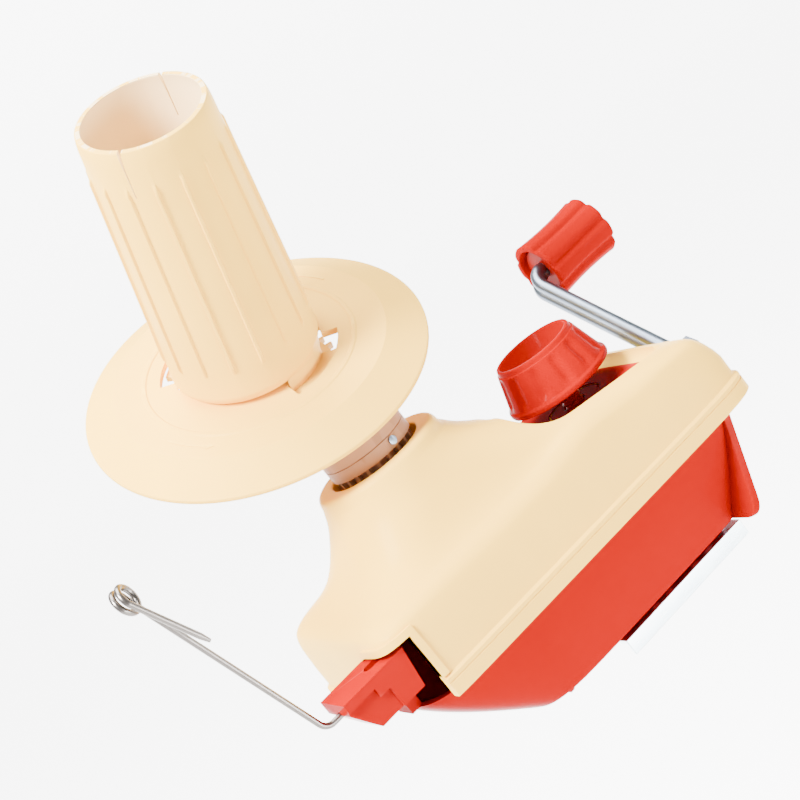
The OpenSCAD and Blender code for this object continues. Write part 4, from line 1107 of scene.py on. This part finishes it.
def knob_rows():
    """Half section of the clamp knob, from its foot up its side and into its hollow.

    Each row is a radius, a height above the foot and the share of the flutes' depth.
    """
    foot, top, bore = KNOB_D / 2, KNOB_TOP_D / 2, SCREW_D / 2
    side_low, side_less, run_out = 3.0, 5.4, 6
    under = [(bore, 2.0), (foot - 5, 2.0), (foot - 3.2, 1.0), (foot - 2.2, 0.1), (foot - 0.8, 0.0),
             (foot - 0.2, 0.25), (foot, 0.8), (foot, 1.7), (foot - 0.25, 2.2), (foot - 0.8, 2.5)]
    side = [(foot - 1.0 + (top + 1.0 - foot) * s, side_low + (KNOB_H - side_less) * s,
             min(1.0, run_out * s, run_out * (1 - s))) for s in np.linspace(0, 1, 12)]
    # Distance in from the top's edge, and down from the top
    edge = [(0.1, 2.1), (0.5, 1.9), (0.7, 1.7), (0.8, 0.8), (1.0, 0.25), (1.5, 0.0), (1.9, 0.0), (2.2, 0.2),
            (2.4, 0.7), (5.0, 5.2), (6.0, 6.2)]
    # Distance out from the bore, and down from the top
    collar = [(2.5, 6.4), (1.6, 6.0), (1.2, 5.0), (0.0, 5.0)]
    return ([(r, z, 0) for r, z in under] + side + [(top - inward, KNOB_H - down, 0) for inward, down in edge]
            + [(bore + out, KNOB_H - down, 0) for out, down in collar])


def knob_body(flutes):
    """Clamp knob with shallow flutes down its side."""
    turns = np.linspace(0, 2 * np.pi, 16 * flutes, endpoint=False)
    hollow = (0.5 - 0.5 * np.cos(flutes * turns)) ** 3
    rings = [np.c_[(r - hollow * share) * np.cos(turns), (r - hollow * share) * np.sin(turns),
                   np.full(len(turns), z + KNOB_Z)] for r, z, share in knob_rows()]
    return skin(rings, wrap=True)


def screw_thread(pitch):
    """Clamp screw with a rounded thread from end to end, shallower at its low end."""
    turns = np.linspace(0, 2 * np.pi, 48, endpoint=False)
    fullness, lead_in, shallow = 0.8, 2.0, 0.3
    rings = []
    for z in np.arange(SCREW_LOW, SCREW_TOP + 0.01, pitch / 5):
        wave = 0.5 + 0.5 * np.cos(2 * np.pi * z / pitch - turns)
        depth = THREAD_DEPTH * (1 - wave ** fullness) * np.clip((z - SCREW_LOW) / lead_in, shallow, 1)
        radii = SCREW_D / 2 - depth
        rings.append(np.c_[radii * np.cos(turns), radii * np.sin(turns), np.full(len(turns), z)])
    return skin(rings)


class WINDER_OT_clamp(Operator):
    """Build the fluted clamp knob and its threaded screw, and finish the jaw"""

    bl_idname = "winder.clamp"
    bl_label = "Table clamp"

    def execute(self, context):
        sizes = context.scene.winder_sizes
        knob = mesh_object("clamp_handwheel", [knob_body(sizes.knob_flutes)], AT_CLAMP)
        settle(knob, "clamp_screw", "red_plastic", ("clamp_knob",), sharp=40.0)
        screw = mesh_object("clamp_thread", [screw_thread(in_mm(sizes.thread))], AT_CLAMP)
        # The screw takes the darker copy of the red, painted shade for the shadow under the knob
        settle(screw, "clamp_screw", "red_plastic_painted_shade", ("clamp_screw",), sharp=60.0)
        dress("clamp_bush", "red_plastic")
        dress("clamp_clip", "turned_steel", FINE_EDGE)
        dress("clamp_jaw", "bright_plate", THICK_EDGE)
        dress("clamp_sleeve", "zinc_plate")
        return {"FINISHED"}


class WINDER_OT_works(Operator):
    """Finish the spindle, gear and bearings inside the housing"""

    bl_idname = "winder.works"
    bl_label = "Inner works"

    def execute(self, context):
        dress("spindle", "turned_steel")
        dress("sun_gear", "nylon", FINE_EDGE)
        dress("thrust_washer", "brass", FINE_EDGE)
        dress("bearing_block", "black_plastic", THICK_EDGE)
        return {"FINISHED"}


def camera_axes(stage):
    """Right, up and back of the rolled camera."""
    back = Vector((-math.sin(stage.azimuth) * math.cos(stage.elevation),
                   -math.cos(stage.azimuth) * math.cos(stage.elevation), math.sin(stage.elevation)))
    level = Vector((math.cos(stage.azimuth), -math.sin(stage.azimuth), 0))
    upright = back.cross(level)
    turn, tip = math.cos(stage.roll), math.sin(stage.roll)
    return turn * level + tip * upright, turn * upright - tip * level, back


def soft_light(name, centre, offset, power, size):
    """Square soft light that faces a centre."""
    lamp = bpy.data.lights.new(name, "AREA")
    lamp.energy = power
    lamp.size = size
    holder = bpy.data.objects.new(name, lamp)
    holder.location = centre + offset
    holder.rotation_euler = offset.to_track_quat("Z", "Y").to_euler()
    bpy.context.scene.collection.objects.link(holder)


class WINDER_OT_stage(Operator):
    """Set the pale floor, the soft lights and the camera"""

    bl_idname = "winder.stage"
    bl_label = "Stage"

    # Point over the neck's mouth that places the camera, and its pixel in the picture
    RING = (0.0, 0.0, 0.1)
    RING_PIXEL = (371.0, 453.0)
    # Metres past the origin, away from the camera, over which the floor's glow comes up
    GLOW_FROM, GLOW_FULL = 0.0, 0.42
    # What the lights face, and their places from there in metres: to the right, up and back to the camera
    AIM = (0.01, 0.0, 0.1)
    KEY_AT, KEY_SIDE = (-0.85, 0.25, 0.7), 0.4
    FILL_AT, FILL_SIDE = (0.9, -0.25, 0.6), 0.9
    # The top light's place is along the frame's own axes, and its power is a share of the fill's
    TOP_AT, TOP_SIDE, TOP_SHARE = (0.1, 0.15, 0.9), 0.7, 0.55

    def execute(self, context):
        stage = context.scene.winder_stage
        self.floor(stage)
        right, up, back = camera_axes(stage)
        self.camera(context, stage, right, up, back)
        seen = Matrix((right, up, back)).transposed()
        soft_light("key", Vector(self.AIM), seen @ Vector(self.KEY_AT), stage.key, self.KEY_SIDE)
        soft_light("fill", Vector(self.AIM), seen @ Vector(self.FILL_AT), stage.fill, self.FILL_SIDE)
        soft_light("top", Vector(self.AIM), Vector(self.TOP_AT), self.TOP_SHARE * stage.fill, self.TOP_SIDE)
        world = bpy.data.worlds.new("studio")
        world.use_nodes = True
        world.node_tree.nodes["Background"].inputs["Color"].default_value = (1, 1, 1, 1)
        world.node_tree.nodes["Background"].inputs["Strength"].default_value = stage.sky
        context.scene.world = world
        return {"FINISHED"}

    def floor(self, stage):
        flat, sweep_r = 0.75 * stage.floor_reach / MM, 0.25 * stage.floor_reach / MM
        rows = [(1.0, 0.0), (sweep_r, 0.0), (flat, 0.0)]
        rows += [(flat + sweep_r * math.sin(a), sweep_r * (1 - math.cos(a)))
                 for a in np.radians(np.linspace(10, 80, 8))]
        points, faces = lathe(rows, 96, wrap=False)
        place = Matrix.Translation((0, 0, -stage.floor_drop / MM))
        floor = mesh_object("floor", [(points, faces[:-1])], place)
        floor.data.polygons.foreach_set("use_smooth", [True] * len(floor.data.polygons))
        finish = Finish("floor_paper")
        tone = finish.blend(finish.noise(6.0), (0.9, 0.9, 0.9), (0.93, 0.93, 0.93))
        ahead = (math.sin(stage.azimuth), math.cos(stage.azimuth), 0.0)
        away = finish.node("ShaderNodeVectorMath", {"operation": "DOT_PRODUCT"},
                           {0: finish.coordinates, 1: ahead}, "Value")
        lit = finish.blend(finish.step(away, self.GLOW_FROM, self.GLOW_FULL), (0.05, 0.05, 0.05), (1, 1, 1))
        paper = finish.close({"Base Color": tone, "Roughness": 0.9, "Emission Color": lit,
                              "Emission Strength": stage.glow})
        floor.data.materials.append(paper)

    def camera(self, context, stage, right, up, back):
        lens = bpy.data.cameras.new("photo_camera")
        lens.lens = stage.lens
        lens.sensor_width = SENSOR
        lens.clip_start = 0.01
        focal = stage.lens / SENSOR * IMAGE_SIDE
        across = (self.RING_PIXEL[0] - IMAGE_SIDE / 2) / focal * stage.distance
        above = (IMAGE_SIDE / 2 - self.RING_PIXEL[1]) / focal * stage.distance
        place = Vector(self.RING) + stage.distance * back - across * right - above * up
        holder = bpy.data.objects.new("photo_camera", lens)
        holder.matrix_world = Matrix((right, up, back)).transposed().to_4x4()
        holder.location = place
        context.scene.collection.objects.link(holder)
        context.scene.camera = holder


class WINDER_PT_panel(Panel):
    """Sizes, colours and pieces of the winder"""

    bl_idname = "WINDER_PT_panel"
    bl_label = "Yarn ball winder"
    bl_space_type = "VIEW_3D"
    bl_region_type = "UI"
    bl_category = "Winder"

    def draw(self, context):
        for group in (context.scene.winder_sizes, context.scene.winder_colours, context.scene.winder_stage):
            box = self.layout.box()
            for name in group.__annotations__:
                box.prop(group, name)
        for operator in PIECES:
            self.layout.operator(operator.bl_idname)


PIECES = (WINDER_OT_stage, WINDER_OT_cover, WINDER_OT_base, WINDER_OT_guide, WINDER_OT_hub,
          WINDER_OT_flange, WINDER_OT_bobbin, WINDER_OT_crank, WINDER_OT_clamp, WINDER_OT_works)
GROUPS = {"winder_colours": WinderColours, "winder_sizes": WinderSizes, "winder_stage": StageSettings}
CLASSES = (*GROUPS.values(), *PIECES, WINDER_PT_panel)


def register():
    for cls in CLASSES:
        bpy.utils.register_class(cls)
    for name, group in GROUPS.items():
        setattr(bpy.types.Scene, name, PointerProperty(type=group))


def unregister():
    for name in GROUPS:
        delattr(bpy.types.Scene, name)
    for cls in reversed(CLASSES):
        bpy.utils.unregister_class(cls)


def main():
    register()
    for operator in PIECES:
        family, action = operator.bl_idname.split(".")
        getattr(getattr(bpy.ops, family), action)()
    bpy.context.view_layer.update()


if __name__ == "__main__":
    main()
